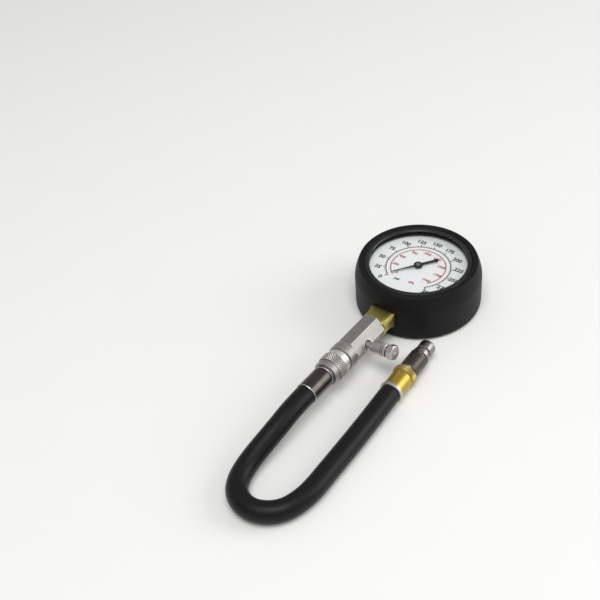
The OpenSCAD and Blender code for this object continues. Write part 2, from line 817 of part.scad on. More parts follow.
module movement_screws() {
    color("#c9ccd0") for (y = movement_screw_y) translate([0, y, 0]) {
        translate([0, 0, plate_lo_top]) difference() {
            cylinder(d = movement_screw_head_d, h = movement_screw_head_t);
            translate([-movement_screw_head_d, -slot_cut / 2, movement_screw_head_t / 2])
                cube([2 * movement_screw_head_d, slot_cut, 1]);
        }
        translate([0, 0, tongue_top - movement_screw_len])
            cylinder(d = movement_screw_d, h = movement_screw_len + plate_t);
    }
}

module bourdon_tube() {
    color("#b5803c") translate([0, 0, tube_z]) rotate(tip_turn) rotate_extrude(angle = tube_sweep)
        translate([tube_r, 0]) difference() {
            oval(tube_w, tube_h);
            oval(tube_w - 2 * tube_wall, tube_h - 2 * tube_wall);
        }
}

module tube_tip() {
    block_w = tube_w + 1.6;
    block_h = tube_h + 1;
    post_z = tube_z + block_h / 2 - 1;
    color("#b5803c") {
        translate([0, 0, tube_z]) rotate(tip_turn - 2 * tip_half) rotate_extrude(angle = 2 * tip_half)
            translate([tube_r, 0]) square([block_w, block_h], center = true);
        translate(tip_pos) {
            translate([0, 0, post_z]) cylinder(d = arm_w, h = link_z - gap - post_z);
            translate([0, 0, post_z]) cylinder(d = link_pin_d, h = link_z + link_t + gap - post_z);
        }
    }
}

module gauge_socket() {
    corner_r = norm([socket_w, socket_t]) / 2;
    spigot_r = spigot_d / 2;
    tongue_z = boot_back + case_wall;
    tube_room = 2 * fit;
    tube_end_x = tube_r * cos(tip_turn + tube_sweep);
    color("#b59a45") difference() {
        union() {
            on_stem(block_s) intersection() {
                translate([-socket_w / 2, -socket_t / 2, 0]) cube([socket_w, socket_t, socket_len]);
                turned([[0, 0], [corner_r + 1, 0], [corner_r + 1, socket_shoulder],
                    [socket_round_r, socket_shoulder + socket_taper], [socket_round_r, socket_len - edge],
                    [socket_round_r - edge, socket_len], [0, socket_len]]);
            }
            translate([-tongue_w / 2, -block_s, tongue_z])
                cube([tongue_w, block_s - tongue_end_s, tongue_top - tongue_z]);
            on_stem(block_end_s) turned([[0, -1], [spigot_r - edge, -1], [spigot_r - edge, edge],
                [spigot_r, 2 * edge], [spigot_r, spigot_len - edge], [spigot_r - edge, spigot_len],
                [0, spigot_len]]);
        }
        on_stem(tube_r) cylinder(r = gas_r, h = spigot_end_s - tube_r + 1);
        translate([tube_end_x - 1, -tube_r, stem_z])
            rotate([0, 90, 0]) cylinder(r = 1, h = 1 - tube_end_x);
        translate([0, 0, tube_z]) rotate(tip_turn + tube_sweep - 30) rotate_extrude(angle = 30)
            translate([tube_r, 0]) oval(tube_w + tube_room, tube_h + tube_room);
        for (y = movement_screw_y)
            translate([0, y, tongue_top - movement_screw_len - gap])
                cylinder(d = movement_screw_d + 2 * fit, h = movement_screw_len + gap + 1);
        for (y = case_screw_y)
            translate([0, y, tongue_z - 1])
                cylinder(d = case_screw_d + 2 * fit, h = case_screw_len + gap + 1);
    }
}

module case_screws() {
    color("#b9bcc0") for (y = case_screw_y) translate([0, y, 0]) {
        translate([0, 0, boot_back - case_screw_head_t]) difference() {
            cylinder(d = case_screw_head_d, h = case_screw_head_t);
            translate([-case_screw_head_d, -slot_cut, -1])
                cube([2 * case_screw_head_d, 2 * slot_cut, 1 + case_screw_head_t / 2]);
        }
        translate([0, 0, boot_back - case_screw_head_t / 2])
            cylinder(d = case_screw_d, h = case_screw_head_t / 2 + case_wall + case_screw_len);
    }
}

module adapter_body() {
    face_r = hex_af / 2 - edge / 2;
    over_r = hex_corner_r + 1;
    chamfer = (over_r - face_r) * tan(hex_slope);
    color("#c9c8c6") difference() {
        on_stem(hex_s) intersection() {
            rotate(adapter_turn) cylinder(r = hex_corner_r, h = hex_len, $fn = 6);
            turned([[0, 0], [face_r, 0], [over_r, chamfer], [over_r, hex_len - chamfer], [face_r, hex_len],
                [0, hex_len]]);
        }
        on_stem(hex_s - 1) cylinder(d = spigot_d + 2 * fit, h = seal_s + seal_t - hex_s + 1);
        on_stem(hex_s) cylinder(r = gas_r, h = hex_len + 1);
        on_stem(hex_end_s - coupler_spigot_len - gap)
            cylinder(d = coupler_spigot_d + 2 * fit, h = coupler_spigot_len + gap + 1);
        on_valve(0) cylinder(d = valve_thread_d + 2 * fit, h = hex_corner_r + 1);
        on_valve(spot_x) cylinder(r = spot_r, h = hex_corner_r);
    }
}

module adapter_seal() {
    color("#7a2f1d") on_stem(seal_s) ring(gas_r + 0.5, spigot_d / 2 - gap, seal_t);
}

module relief_body() {
    thread_r = valve_thread_d / 2;
    neck_r = neck_d / 2;
    barrel_r = valve_d / 2;
    color("#d4d4d2") on_valve(0) difference() {
        turned(concat(
            [[0, thread_in_x], [thread_r, thread_in_x], [thread_r, spot_x], [neck_r, spot_x],
                [neck_r, barrel_x], [barrel_r - edge, barrel_x], [barrel_r, barrel_x + edge]],
            [for (i = [valve_grooves:-1:1])
                let (x = barrel_end_x - 3 * edge * i)
                each [[barrel_r, x - edge], [barrel_r - edge, x - edge / 2], [barrel_r - edge, x],
                    [barrel_r, x + edge / 2]]],
            [[barrel_r, barrel_end_x - edge], [barrel_r - edge, barrel_end_x], [nose_r, barrel_end_x],
                [nose_r, barrel_end_x + nose_len], [0, barrel_end_x + nose_len]]));
        translate([0, 0, thread_in_x - 1]) cylinder(r = chamber_r, h = seat_x - thread_in_x + 1);
        translate([0, 0, seat_x - 1]) cylinder(d = stem_d + 4 * fit, h = barrel_end_x - seat_x);
        translate([0, 0, coil_seat_x]) cylinder(r = coil_room_r, h = barrel_end_x);
    }
}

module relief_button() {
    corner_r = button_d / 2;
    face_r = corner_r * cos(30) - edge / 2;
    over_r = corner_r + 1;
    chamfer = (over_r - face_r) * tan(hex_slope);
    color("#c6c8c8") on_valve(button_x) difference() {
        intersection() {
            cylinder(r = corner_r, h = button_len, $fn = 6);
            turned([[0, 0], [face_r, 0], [over_r, chamfer], [over_r, button_len - chamfer],
                [face_r, button_len], [0, button_len]]);
        }
        translate([0, 0, -1]) cylinder(r = nose_r + 2 * fit, h = button_bore + 1);
        translate([0, 0, button_bore - 1]) cylinder(d = stem_d + fit, h = stem_hold + 1);
    }
}

module relief_stem() {
    head_x = seat_x - 2 * fit - relief_seal_t - stem_head_t;
    color("#bfc2c4") on_valve(head_x) {
        cylinder(r = seal_r, h = stem_head_t);
        cylinder(d = stem_d, h = button_x + button_bore + stem_hold - head_x);
    }
}

module relief_seal() {
    color("#1b1b1b") on_valve(seat_x - 2 * fit - relief_seal_t)
        ring(stem_d / 2 + fit / 2, seal_r, relief_seal_t);
}

module relief_spring() {
    room = button_x + button_bore - coil_seat_x - 2 * fit;
    color("#9fa4a8") on_valve(coil_seat_x + fit) coil(relief_coil_r, relief_wire, room, 6, 15);
}

module coupler_body() {
    band_r = band_d / 2;
    spigot_r = coupler_spigot_d / 2;
    spigot_s = band_s - coupler_spigot_len;
    color("#cfcfcd") difference() {
        on_stem(0) turned([[0, spigot_s], [spigot_r - edge, spigot_s], [spigot_r, spigot_s + edge],
            [spigot_r, band_s], [band_r - band_edge, band_s], [band_r, band_s + band_edge],
            [band_r, band_end_s - band_edge / 2], [band_r - band_edge / 2, band_end_s],
            [collar_r, band_end_s], [collar_r, collar_end_s], [pocket_r, collar_end_s],
            [pocket_r, band_end_s], [barrel_r, band_end_s], [barrel_r, snap_s], [snap_in_r, snap_s],
            [snap_in_r, snap_s + snap_t], [barrel_r, snap_s + snap_t], [barrel_r - edge / 2, coupler_end_s],
            [0, coupler_end_s]]);
        on_stem(spigot_s - 1) cylinder(r = gas_r, h = bore_s - spigot_s + 2);
        on_stem(bore_s) cylinder(r = bore_r, h = coupler_end_s - bore_s + 1);
        on_stem(oring_s - oring_d / 2 - 2 * fit)
            cylinder(r = oring_r + oring_d / 2 + fit, h = oring_d + 4 * fit);
        for (i = [0:ball_count - 1])
            on_stem(ball_s) rotate(360 * i / ball_count) rotate([0, 90, 0])
                cylinder(r = ball_r + fit, h = barrel_r + 1);
    }
}

module coupler_sleeve() {
    nose_out = sleeve_nose_d / 2;
    length = knurl_len + sleeve_nose_len;
    color("#cbcbc9") on_stem(sleeve_s) difference() {
        union() {
            diamond_bar(sleeve_d / 2, knurl_depth, knurl_len, knurl_columns, knurl_rows);
            turned([[0, 0], [nose_out, 0], [nose_out, length - edge], [nose_out - edge, length],
                [0, length]]);
        }
        translate([0, 0, -1]) cylinder(r = sleeve_bore_r, h = length + 2);
        translate([0, 0, -1]) cylinder(r = collar_r + 2 * fit, h = counter_end_s - sleeve_s + 1);
        translate([0, 0, release_s - sleeve_s]) cylinder(r = release_r, h = release_end_s - release_s);
    }
}

module coupler_spring() {
    room = counter_end_s - band_end_s - 2 * fit;
    color("#8f9498") on_stem(band_end_s + fit) coil(coupler_coil_r, coupler_wire, room, 6, 24);
}

module coupler_balls() {
    color("#d8dadb") for (i = [0:ball_count - 1])
        on_stem(ball_s) rotate(360 * i / ball_count) translate([ball_orbit, 0, 0]) sphere(r = ball_r);
}

module coupler_seal() {
    color("#161616") on_stem(oring_s) rotate_extrude() translate([oring_r, 0]) circle(d = oring_d);
}

module coupler_snap_ring() {
    color("#3a3c3e") on_stem(snap_s) difference() {
        ring(snap_in_r + fit, snap_out_r, snap_t);
        translate([0, -1, -1]) cube([snap_out_r + 1, 2, snap_t + 2]);
    }
}

module hose_plug() {
    nose = plug_d / 2;
    groove = ball_r + 2 * fit;
    tail_s = ferrule_end_s - tail_short;
    color("#bfc1c2") difference() {
        on_stem(0) turned([[0, plug_s], [nose - edge, plug_s], [nose, plug_s + edge],
            [nose, ball_s - groove - edge], [ball_groove_r, ball_s - groove],
            [ball_groove_r, ball_s + groove], [nose, ball_s + groove + edge], [nose, shoulder_s],
            [shoulder_d / 2 - edge, shoulder_s],
            [shoulder_d / 2, shoulder_s + edge], [shoulder_d / 2, ferrule_s], [tail_r, ferrule_s],
            [tail_r, tail_s - 2 * edge], [tail_r - edge, tail_s], [0, tail_s]]);
        on_stem(plug_s - 1) cylinder(r = gas_r, h = tail_s - plug_s + 2);
    }
}

module plug_ferrule() {
    bore = ferrule_r - ferrule_wall;
    color("#77787a") on_stem(ferrule_s) difference() {
        turned([[0, 0], [ferrule_r - edge, 0], [ferrule_r, edge],
            [ferrule_r, plug_ferrule_len - ferrule_bead],
            [ferrule_r + ferrule_bead / 3, plug_ferrule_len - ferrule_bead / 2],
            [ferrule_r, plug_ferrule_len], [0, plug_ferrule_len]]);
        translate([0, 0, ferrule_floor]) cylinder(r = bore, h = plug_ferrule_len);
        translate([0, 0, -1]) cylinder(r = tail_r + fit, h = ferrule_floor + 2);
    }
}

// Straight stretches inside both ferrules, and the free curve between them
module hose() {
    out = [0, -1, 0];
    back = [-sin(far_turn), cos(far_turn), 0];
    start = [0, -ferrule_s - ferrule_floor, stem_z];
    mouth = [0, -ferrule_end_s, stem_z];
    far_mouth = [far_x, -far_y, far_z];
    far_end = far_mouth + back * (end_ferrule_h + end_ferrule_len - ferrule_floor);
    knots = concat([mouth - hose_step_in * out, mouth + hose_step_in * out], hose_route,
        [far_mouth - hose_step_in * back, far_mouth + hose_step_in * back]);
    curve = [for (i = [1:len(knots) - 3])
        let (four = [knots[i - 1], knots[i], knots[i + 1], knots[i + 2]])
        for (k = [0:hose_steps - 1])
            let (t = k / hose_steps)
            ring_points(curve_point(four, t), curve_slope(four, t), hose_r, hose_sides)];
    rings = concat(
        [ring_points(start, out, crimp_r, hose_sides), ring_points(mouth, out, crimp_r, hose_sides)],
        curve,
        [ring_points(far_mouth - hose_step_in * back, back, hose_r, hose_sides),
            ring_points(far_mouth, back, end_crimp_r, hose_sides),
            ring_points(far_end, back, end_crimp_r, hose_sides)]);
    color("#1a1a1b") difference() {
        skin(rings);
        on_stem(ferrule_s) cylinder(r = hose_bore_r, h = ferrule_end_s - tail_short - ferrule_s + gap);
        on_far(tail_short - gap) cylinder(r = hose_bore_r, h = grip_h);
    }
}

module end_ring() {
    out = end_ring_d / 2;
    color("#dcdcda") on_far(0) difference() {
        turned([[0, 0], [out - edge, 0], [out, edge], [out, end_ring_len - edge], [out - edge, end_ring_len],
            [0, end_ring_len]]);
        translate([0, 0, -1]) cylinder(r = end_crimp_r + fit, h = end_ring_len + 2);
    }
}

module end_ferrule() {
    color("#c9a537") on_far(end_ferrule_h) difference() {
        turned([[0, 0], [end_ferrule_r, 0], [end_ferrule_r, end_ferrule_len - edge],
            [end_ferrule_r - edge, end_ferrule_len], [0, end_ferrule_len]]);
        translate([0, 0, -1]) cylinder(r = end_crimp_r + fit, h = end_ferrule_len - ferrule_floor + 1);
        cylinder(r = tail_r + fit, h = end_ferrule_len + 1);
    }
}

module grip_ring() {
    out = grip_d / 2;
    step = 180 / grip_ridges;
    color("#a98e46") on_far(grip_h) difference() {
        intersection() {
            linear_extrude(grip_len) polygon(
                [for (i = [0:2 * grip_ridges - 1])
                    polar(step * i, i % 2 == 0 ? out : out - grip_ridge_depth)]);
            turned([[0, 0], [out - 2 * edge, 0], [out + edge, 3 * edge], [out + edge, grip_len - 3 * edge],
                [out - 2 * edge, grip_len], [0, grip_len]]);
        }
        translate([0, 0, -1]) cylinder(r = grip_seat_r + fit, h = grip_len + 2);
    }
}

module threaded_end() {
    thread_r = thread_d / 2;
    pilot_r = thread_r - pilot_step;
    tip_r = thread_r - tip_step;
    neck_r = tip_r - 2 * edge;
    round_r = tip_r - tip_edge;
    color("#6d6e70") on_far(0) difference() {
        turned(concat(
            [[0, tail_short], [tail_r - edge, tail_short], [tail_r, tail_short + 2 * edge],
                [tail_r, grip_h], [grip_seat_r, grip_h], [grip_seat_r, thread_h], [thread_r, thread_h],
                [thread_r, thread_h + thread_len], [pilot_r, pilot_h], [pilot_r, neck_h - edge],
                [pilot_r - edge, neck_h], [neck_r, neck_h], [neck_r, tip_h], [tip_r - edge, tip_h],
                [tip_r, tip_h + edge]],
            [for (a = [0:30:90]) [round_r + tip_edge * cos(a), end_h - tip_edge * (1 - sin(a))]],
            [[0, end_h]]));
        translate([0, 0, tail_short - 1]) cylinder(r = gas_r, h = core_h);
        translate([0, 0, core_h]) cylinder(r = core_r + fit, h = core_len + 2);
    }
}

module valve_core() {
    color("#c4a14c") on_far(core_h) difference() {
        turned([[0, 0], [core_r, 0], [core_r, core_len - edge], [core_r - edge, core_len], [0, core_len]]);
        translate([0, 0, -1]) cylinder(r = core_pin_r + 2 * fit, h = core_len + 2);
        translate([0, 0, core_len - core_room_len]) cylinder(r = core_room_r, h = core_room_len + 1);
    }
}

module core_pin() {
    color("#d6d7d8") on_far(core_h) {
        translate([0, 0, 2]) cylinder(r = core_pin_r, h = core_len - 2);
        translate([0, 0, core_len - core_head_t]) cylinder(r = core_head_r, h = core_head_t);
    }
}

module core_spring() {
    room = core_room_len - core_head_t - 2 * fit;
    color("#9fa4a8") on_far(core_h + core_len - core_room_len + fit) coil(core_coil_r, core_wire, room, 6);
}

rubber_boot();
gauge_case();
bezel_ring();
lens();
lens_gasket();
dial_plate();
dial_screws();
pointer();
pointer_arbor();
hairspring();
sector_gear();
link_bar();
movement_bottom_plate();
movement_top_plate();
movement_pillars();
movement_screws();
bourdon_tube();
tube_tip();
gauge_socket();
case_screws();
adapter_body();
adapter_seal();
relief_body();
relief_button();
relief_stem();
relief_seal();
relief_spring();
coupler_body();
coupler_sleeve();
coupler_spring();
coupler_balls();
coupler_seal();
coupler_snap_ring();
hose_plug();
plug_ferrule();
hose();
end_ring();
end_ferrule();
grip_ring();
threaded_end();
valve_core();
core_pin();
core_spring();
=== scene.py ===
"""Looks of an engine compression tester: a dial gauge in a rubber boot, its fittings and its hose."""

import math

import bmesh
import bpy
from mathutils import Matrix, Vector


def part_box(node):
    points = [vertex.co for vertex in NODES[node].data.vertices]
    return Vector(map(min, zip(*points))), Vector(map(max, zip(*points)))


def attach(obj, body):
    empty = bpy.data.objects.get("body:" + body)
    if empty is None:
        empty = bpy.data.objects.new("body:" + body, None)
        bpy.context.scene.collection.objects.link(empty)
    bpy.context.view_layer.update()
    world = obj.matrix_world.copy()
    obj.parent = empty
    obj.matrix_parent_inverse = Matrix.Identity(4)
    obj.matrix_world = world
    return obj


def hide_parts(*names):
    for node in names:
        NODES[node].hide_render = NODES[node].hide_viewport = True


bl_info = {
    "name": "Compression Tester Gauge",
    "version": (1, 0, 0),
    "blender": (4, 5, 0),
    "location": "3D View > Sidebar > Tester",
    "description": "Dresses a compression tester gauge with its dial print, rubber, metals and hose",
    "category": "Object",
}

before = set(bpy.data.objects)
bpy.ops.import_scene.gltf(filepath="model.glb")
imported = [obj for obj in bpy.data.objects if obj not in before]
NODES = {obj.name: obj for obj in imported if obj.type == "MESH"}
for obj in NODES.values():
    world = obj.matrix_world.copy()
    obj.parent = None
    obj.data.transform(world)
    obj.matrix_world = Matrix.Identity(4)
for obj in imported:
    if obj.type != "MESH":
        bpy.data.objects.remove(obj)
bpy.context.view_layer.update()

MM = 0.001

# The dial's two scales, and how many kilopascals one psi is.
PSI_FULL = 300
PSI_STEP = 25
KPA_FULL = 2000
KPA_STEP = 250
KPA_PER_PSI = 6.894757
# Thickness of the printing, and how far its middle lies above the dial's face. Real ink is thinner and would
# flicker against the plate.
PRINT_THICK = 0.06 * MM
PRINT_LIFT = 0.01 * MM

# Brightness of outer edges and of the bottoms of grooves, as a factor on the metal's own.
# The edges are painted lighter, rubbed wear with a painted highlight; the grooves are painted darker, painted
# shade.
EDGE_WEAR_AND_HIGHLIGHT = 2.0
GROOVE_PAINTED_SHADE = 0.3

# The photograph's view: the camera's axes, its place in metres and its focal length in millimetres.
CAMERA_AXES = (
    (0.7995, 0.59637, -0.07171),
    (-0.346, 0.55483, 0.75661),
    (0.49101, -0.58009, 0.64993),
)
CAMERA_PLACE = (0.3179, -0.5110, 0.5189)
CAMERA_LENS = 63.77
LAMP_AIM = (0.0, -0.08, 0.0)
FLOOR_HALF = 3.0


def linear(code):
    """Turns an sRGB hex colour into the linear colour that the shaders take."""
    channels = [int(code[i : i + 2], 16) / 255 for i in (1, 3, 5)]
    return (*(c / 12.92 if c <= 0.04045 else ((c + 0.055) / 1.055) ** 2.4 for c in channels), 1.0)


def size_property(name, description, default):
    """Length that a user would change, in metres."""
    return bpy.props.FloatProperty(
        name=name, description=description, default=default, unit="LENGTH", precision=5
    )


def colour_property(name, description, code):
    """Colour that a user would change."""
    return bpy.props.FloatVectorProperty(
        name=name, description=description, default=linear(code), size=4, subtype="COLOR", min=0, max=1
    )


class DialSettings(bpy.types.PropertyGroup):
    """Print on the dial: two scales, their figures and their units."""

    face_z: size_property("Face", "Height of the dial's face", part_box("dial_plate")[1].z)
    zero: bpy.props.FloatProperty(
        name="Zero",
        description="Angle of the zero mark, clockwise from the stem",
        default=math.radians(37),
        subtype="ANGLE",
    )
    sweep: bpy.props.FloatProperty(
        name="Sweep", description="Angle of the whole scale", default=math.radians(280), subtype="ANGLE"
    )
    scale_r: size_property("Scale radius", "Radius of the black scale's line", 23.3 * MM)
    red_r: size_property("Red radius", "Radius of the red scale's line", 20.0 * MM)
    figure_r: size_property("Figure radius", "Radius of the black figures", 29.2 * MM)
    figure_size: size_property("Figure size", "Size of the black figures", 4.9 * MM)
    red_figure_r: size_property("Red figure radius", "Radius of the red figures", 16.4 * MM)
    red_figure_size: size_property("Red figure size", "Size of the red figures", 3.2 * MM)
    ink: colour_property("Ink", "Black printing ink", "#0d0d0e")
    red_ink: colour_property("Red ink", "Red printing ink", "#b51d28")
    white: colour_property("White", "Enamel of the dial", "#fafcfd")


class HoseSettings(bpy.types.PropertyGroup):
    """Rubber hose and boot."""

    diameter: size_property("Diameter", "Outer diameter of the hose", 14.5 * MM)
    crimp: size_property("Crimped diameter", "Diameter of the hose inside its ferrules", 13.8 * MM)
    rubber: colour_property("Hose rubber", "Black of the hose's cover", "#0d0d0f")
    boot: colour_property("Boot rubber", "Black of the gauge's boot", "#111111")


class ThreadSettings(bpy.types.PropertyGroup):
    """Spark plug thread at the hose's far end."""

    pitch: size_property("Pitch", "Distance from one turn to the next", 1.25 * MM)
    depth: size_property("Depth", "Depth of the thread", 0.62 * MM)
    crest: size_property("Crest radius", "Outer radius of the thread", 7.0 * MM)


class MetalSettings(bpy.types.PropertyGroup):
    """Colours of the plated and bare metals."""

    brass: colour_property("Brass", "Milled brass of the stem", "#bdac66")
    nickel: colour_property("Nickel", "Blasted nickel of the adapter and the coupler", "#a5a29e")
    bright: colour_property("Bright nickel", "Polished nickel of the valve and rings", "#bdbbb8")
    # The plug's polished plating, painted dark: a painted reflection of the dark surroundings it mirrors.
    plating_painted_dark: colour_property("Plating painted dark", "Dark polished plating of the plug and its ferrule", "#57534f")
    gold: colour_property("Gold", "Gold plating of the far ferrule", "#bda04a")


class StageSettings(bpy.types.PropertyGroup):
    """Floor, lamps and camera."""

    floor: colour_property("Floor", "Pale floor", "#f4f4f2")
    key: bpy.props.FloatProperty(
        name="Key lamp", description="Power of the lamp overhead", default=22.0, unit="POWER"
    )
    side: bpy.props.FloatProperty(
        name="Side lamp", description="Power of the lamp beside the gauge", default=19.5, unit="POWER"
    )
    sky: bpy.props.FloatProperty(
        name="Sky", description="Strength of the even light from all around", default=0.42
    )


class TesterSettings(bpy.types.PropertyGroup):
    """All settings of the tester."""

    dial: bpy.props.PointerProperty(type=DialSettings)
    hose: bpy.props.PointerProperty(type=HoseSettings)
    thread: bpy.props.PointerProperty(type=ThreadSettings)
    metal: bpy.props.PointerProperty(type=MetalSettings)
    stage: bpy.props.PointerProperty(type=StageSettings)


def add(tree, kind, inputs=None, **settings):
    """Adds a node with its settings, and fills or links its inputs."""
    item = tree.nodes.new(kind)
    for key, value in settings.items():
        setattr(item, key, value)
    for key, value in (inputs or {}).items():
        if isinstance(value, bpy.types.NodeSocket):
            tree.links.new(value, item.inputs[key])
        else:
            item.inputs[key].default_value = value
    return item


def shade(colour, factor):
    """A lighter or darker shade of a linear colour."""
    return (*(min(1.0, c * factor) for c in colour[:3]), 1.0)


def surface(
    name, colour, spread, mottle_mm, grain_mm, rough, bump_mm, stretch=(1, 1, 1), wear_and_painted_light_mm=0, **shader
):
    """Material whose colour drifts over mottle_mm and whose roughness and relief vary over grain_mm.

    stretch draws the grain out along an axis, as brushing or turning does. Within the given distance of an outer
    edge the colour is painted lighter, for rubbed wear and a painted highlight, and as close to a groove's
    bottom it is painted darker, as painted shade."""
    material = bpy.data.materials.new(name)
    material.use_nodes = True
    tree = material.node_tree
    bsdf = tree.nodes["Principled BSDF"]
    for key, value in shader.items():
        bsdf.inputs[key.replace("_", " ")].default_value = value
    place = add(tree, "ShaderNodeTexCoord").outputs["Object"]
    drawn = add(tree, "ShaderNodeMapping", {"Vector": place, "Scale": stretch}).outputs["Vector"]
    mottle = add(tree, "ShaderNodeTexNoise", {"Vector": place, "Scale": 1 / (mottle_mm * MM), "Detail": 4.0})
    grain = add(tree, "ShaderNodeTexNoise", {"Vector": drawn, "Scale": 1 / (grain_mm * MM), "Detail": 3.0})
    mixed = add(
        tree,
        "ShaderNodeMix",
        {0: mottle.outputs["Fac"], 6: shade(colour, 1 - spread), 7: shade(colour, 1 + spread)},
        data_type="RGBA",
    )
    tone = mixed.outputs[2]
    if wear_and_painted_light_mm:
        # Occlusion read into the solid finds its outer edges, painted lighter for rubbed wear and a painted
        # highlight, and read outwards it finds the grooves, painted darker as painted shade.
        for inside, factor in ((True, EDGE_WEAR_AND_HIGHLIGHT), (False, GROOVE_PAINTED_SHADE)):
            near = add(
                tree,
                "ShaderNodeAmbientOcclusion",
                {"Distance": wear_and_painted_light_mm * MM},
                inside=inside,
                only_local=True,
                samples=12,
            ).outputs["AO"]
            share = add(tree, "ShaderNodeMapRange", {"Value": near, "From Min": 0.95, "From Max": 0.5})
            tone = add(
                tree,
                "ShaderNodeMix",
                {0: share.outputs[0], 6: tone, 7: shade(colour, factor)},
                data_type="RGBA",
            ).outputs[2]
    gloss = add(
        tree,
        "ShaderNodeMapRange",
        {"Value": grain.outputs["Fac"], "To Min": rough[0], "To Max": rough[1]},
    )
    relief = add(
        tree,
        "ShaderNodeBump",
        {"Height": grain.outputs["Fac"], "Strength": 0.6, "Distance": bump_mm * MM},
    )
    tree.links.new(tone, bsdf.inputs["Base Color"])
    tree.links.new(gloss.outputs["Result"], bsdf.inputs["Roughness"])
    tree.links.new(relief.outputs["Normal"], bsdf.inputs["Normal"])
    return material


def dress(material, *names):
    """Gives CAD nodes their material."""
    for name in names:
        for slot in NODES[name].material_slots:
            slot.material = material


def piece(name, mesh, body, material=None, replaces=()):
    """Makes an object of a mesh, and lets it ride on its body."""
    item = bpy.data.objects.new(name, mesh)
    bpy.context.scene.collection.objects.link(item)
    if material:
        mesh.materials.clear()
        mesh.materials.append(material)
    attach(item, body)
    if replaces:
        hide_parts(*replaces)
    return item


def smooth(mesh, angle=35):
    """Smooth shading that keeps the edges sharper than angle degrees."""
    mesh.shade_smooth()
    mesh.set_sharp_from_angle(angle=math.radians(angle))


def finished(edit, name):
    """Mesh of an edit, with its faces turned outwards."""
    bmesh.ops.recalc_face_normals(edit, faces=edit.faces)
    mesh = bpy.data.meshes.new(name)
    edit.to_mesh(mesh)
    edit.free()
    return mesh


def evaluated(holder):
    """Mesh of an object with its modifiers applied. The object itself goes."""
    bpy.context.view_layer.update()
    mesh = bpy.data.meshes.new_from_object(holder.evaluated_get(bpy.context.evaluated_depsgraph_get()))
    name = holder.name
    bpy.data.objects.remove(holder)
    if not mesh.polygons:
        raise RuntimeError(f"{name} came out empty")
    return mesh


def node_piece(name, tree, values):
    """Mesh of a geometry node tree run with these input values."""
    holder = bpy.data.objects.new(name, bpy.data.meshes.new(name))
    modifier = holder.modifiers.new(name, "NODES")
    modifier.node_group = tree
    for socket in tree.interface.items_tree:
        if socket.in_out == "INPUT" and socket.name in values:
            modifier[socket.identifier] = values[socket.name]
    bpy.context.scene.collection.objects.link(holder)
    mesh = evaluated(holder)
    mesh.name = name
    return mesh


def node_tree(name, inputs):
    """Empty geometry node tree with named inputs, its input node and a function that closes it."""
    tree = bpy.data.node_groups.new(name, "GeometryNodeTree")
    for label, kind in inputs:
        tree.interface.new_socket(label, in_out="INPUT", socket_type=f"NodeSocket{kind}")
    tree.interface.new_socket("Geometry", in_out="OUTPUT", socket_type="NodeSocketGeometry")
    entry = add(tree, "NodeGroupInput").outputs

    def close(geometry):
        real = add(tree, "GeometryNodeRealizeInstances", {"Geometry": geometry}).outputs["Geometry"]
        made = add(tree, "GeometryNodeSetMaterial", {"Geometry": real, "Material": entry["Material"]})
        add(tree, "NodeGroupOutput", {"Geometry": made.outputs["Geometry"]})

    return tree, entry, close


def calculator(tree):
    """Function that adds a sum of two values to a tree and returns its result."""

    def calc(operation, a, b=0.0):
        return add(tree, "ShaderNodeMath", {0: a, 1: b}, operation=operation).outputs[0]

    return calc


def dial_place(angle, radius):
    """Place on the dial, clockwise from the stem."""
    return Vector((-radius * math.sin(angle), -radius * math.cos(angle), 0))


def tick_ring():
    """Tree of a ring of printed ticks, from Start over Sweep, that stand out from Radius by Length."""
    floats = ("Start", "Sweep", "Radius", "Length", "Width", "Height")
    tree, entry, close = node_tree(
        "tick_ring", [("Count", "Int"), *((label, "Float") for label in floats), ("Material", "Material")]
    )
    calc = calculator(tree)
    last = calc("SUBTRACT", entry["Count"], 1.0)
    share = calc("DIVIDE", add(tree, "GeometryNodeInputIndex").outputs[0], last)
    angle = calc("ADD", entry["Start"], calc("MULTIPLY", share, entry["Sweep"]))
    middle = calc("ADD", entry["Radius"], calc("MULTIPLY", entry["Length"], 0.5))
    x = calc("MULTIPLY", calc("SINE", angle), calc("MULTIPLY", middle, -1.0))
    y = calc("MULTIPLY", calc("COSINE", angle), calc("MULTIPLY", middle, -1.0))
    spot = add(tree, "ShaderNodeCombineXYZ", {"X": x, "Y": y, "Z": entry["Height"]}).outputs[0]
    points = add(tree, "GeometryNodePoints", {"Count": entry["Count"], "Position": spot}).outputs[0]
    turn = add(tree, "ShaderNodeCombineXYZ", {"Z": calc("MULTIPLY", angle, -1.0)}).outputs[0]
    facing = add(tree, "FunctionNodeEulerToRotation", {0: turn}).outputs[0]
    box = add(
        tree,
        "ShaderNodeCombineXYZ",
        {"X": entry["Width"], "Y": entry["Length"], "Z": PRINT_THICK},
    ).outputs[0]
    tick = add(tree, "GeometryNodeMeshCube", {"Size": box}).outputs["Mesh"]
    ring = add(
        tree, "GeometryNodeInstanceOnPoints", {"Points": points, "Instance": tick, "Rotation": facing}
    )
    close(ring.outputs[0])
    return tree


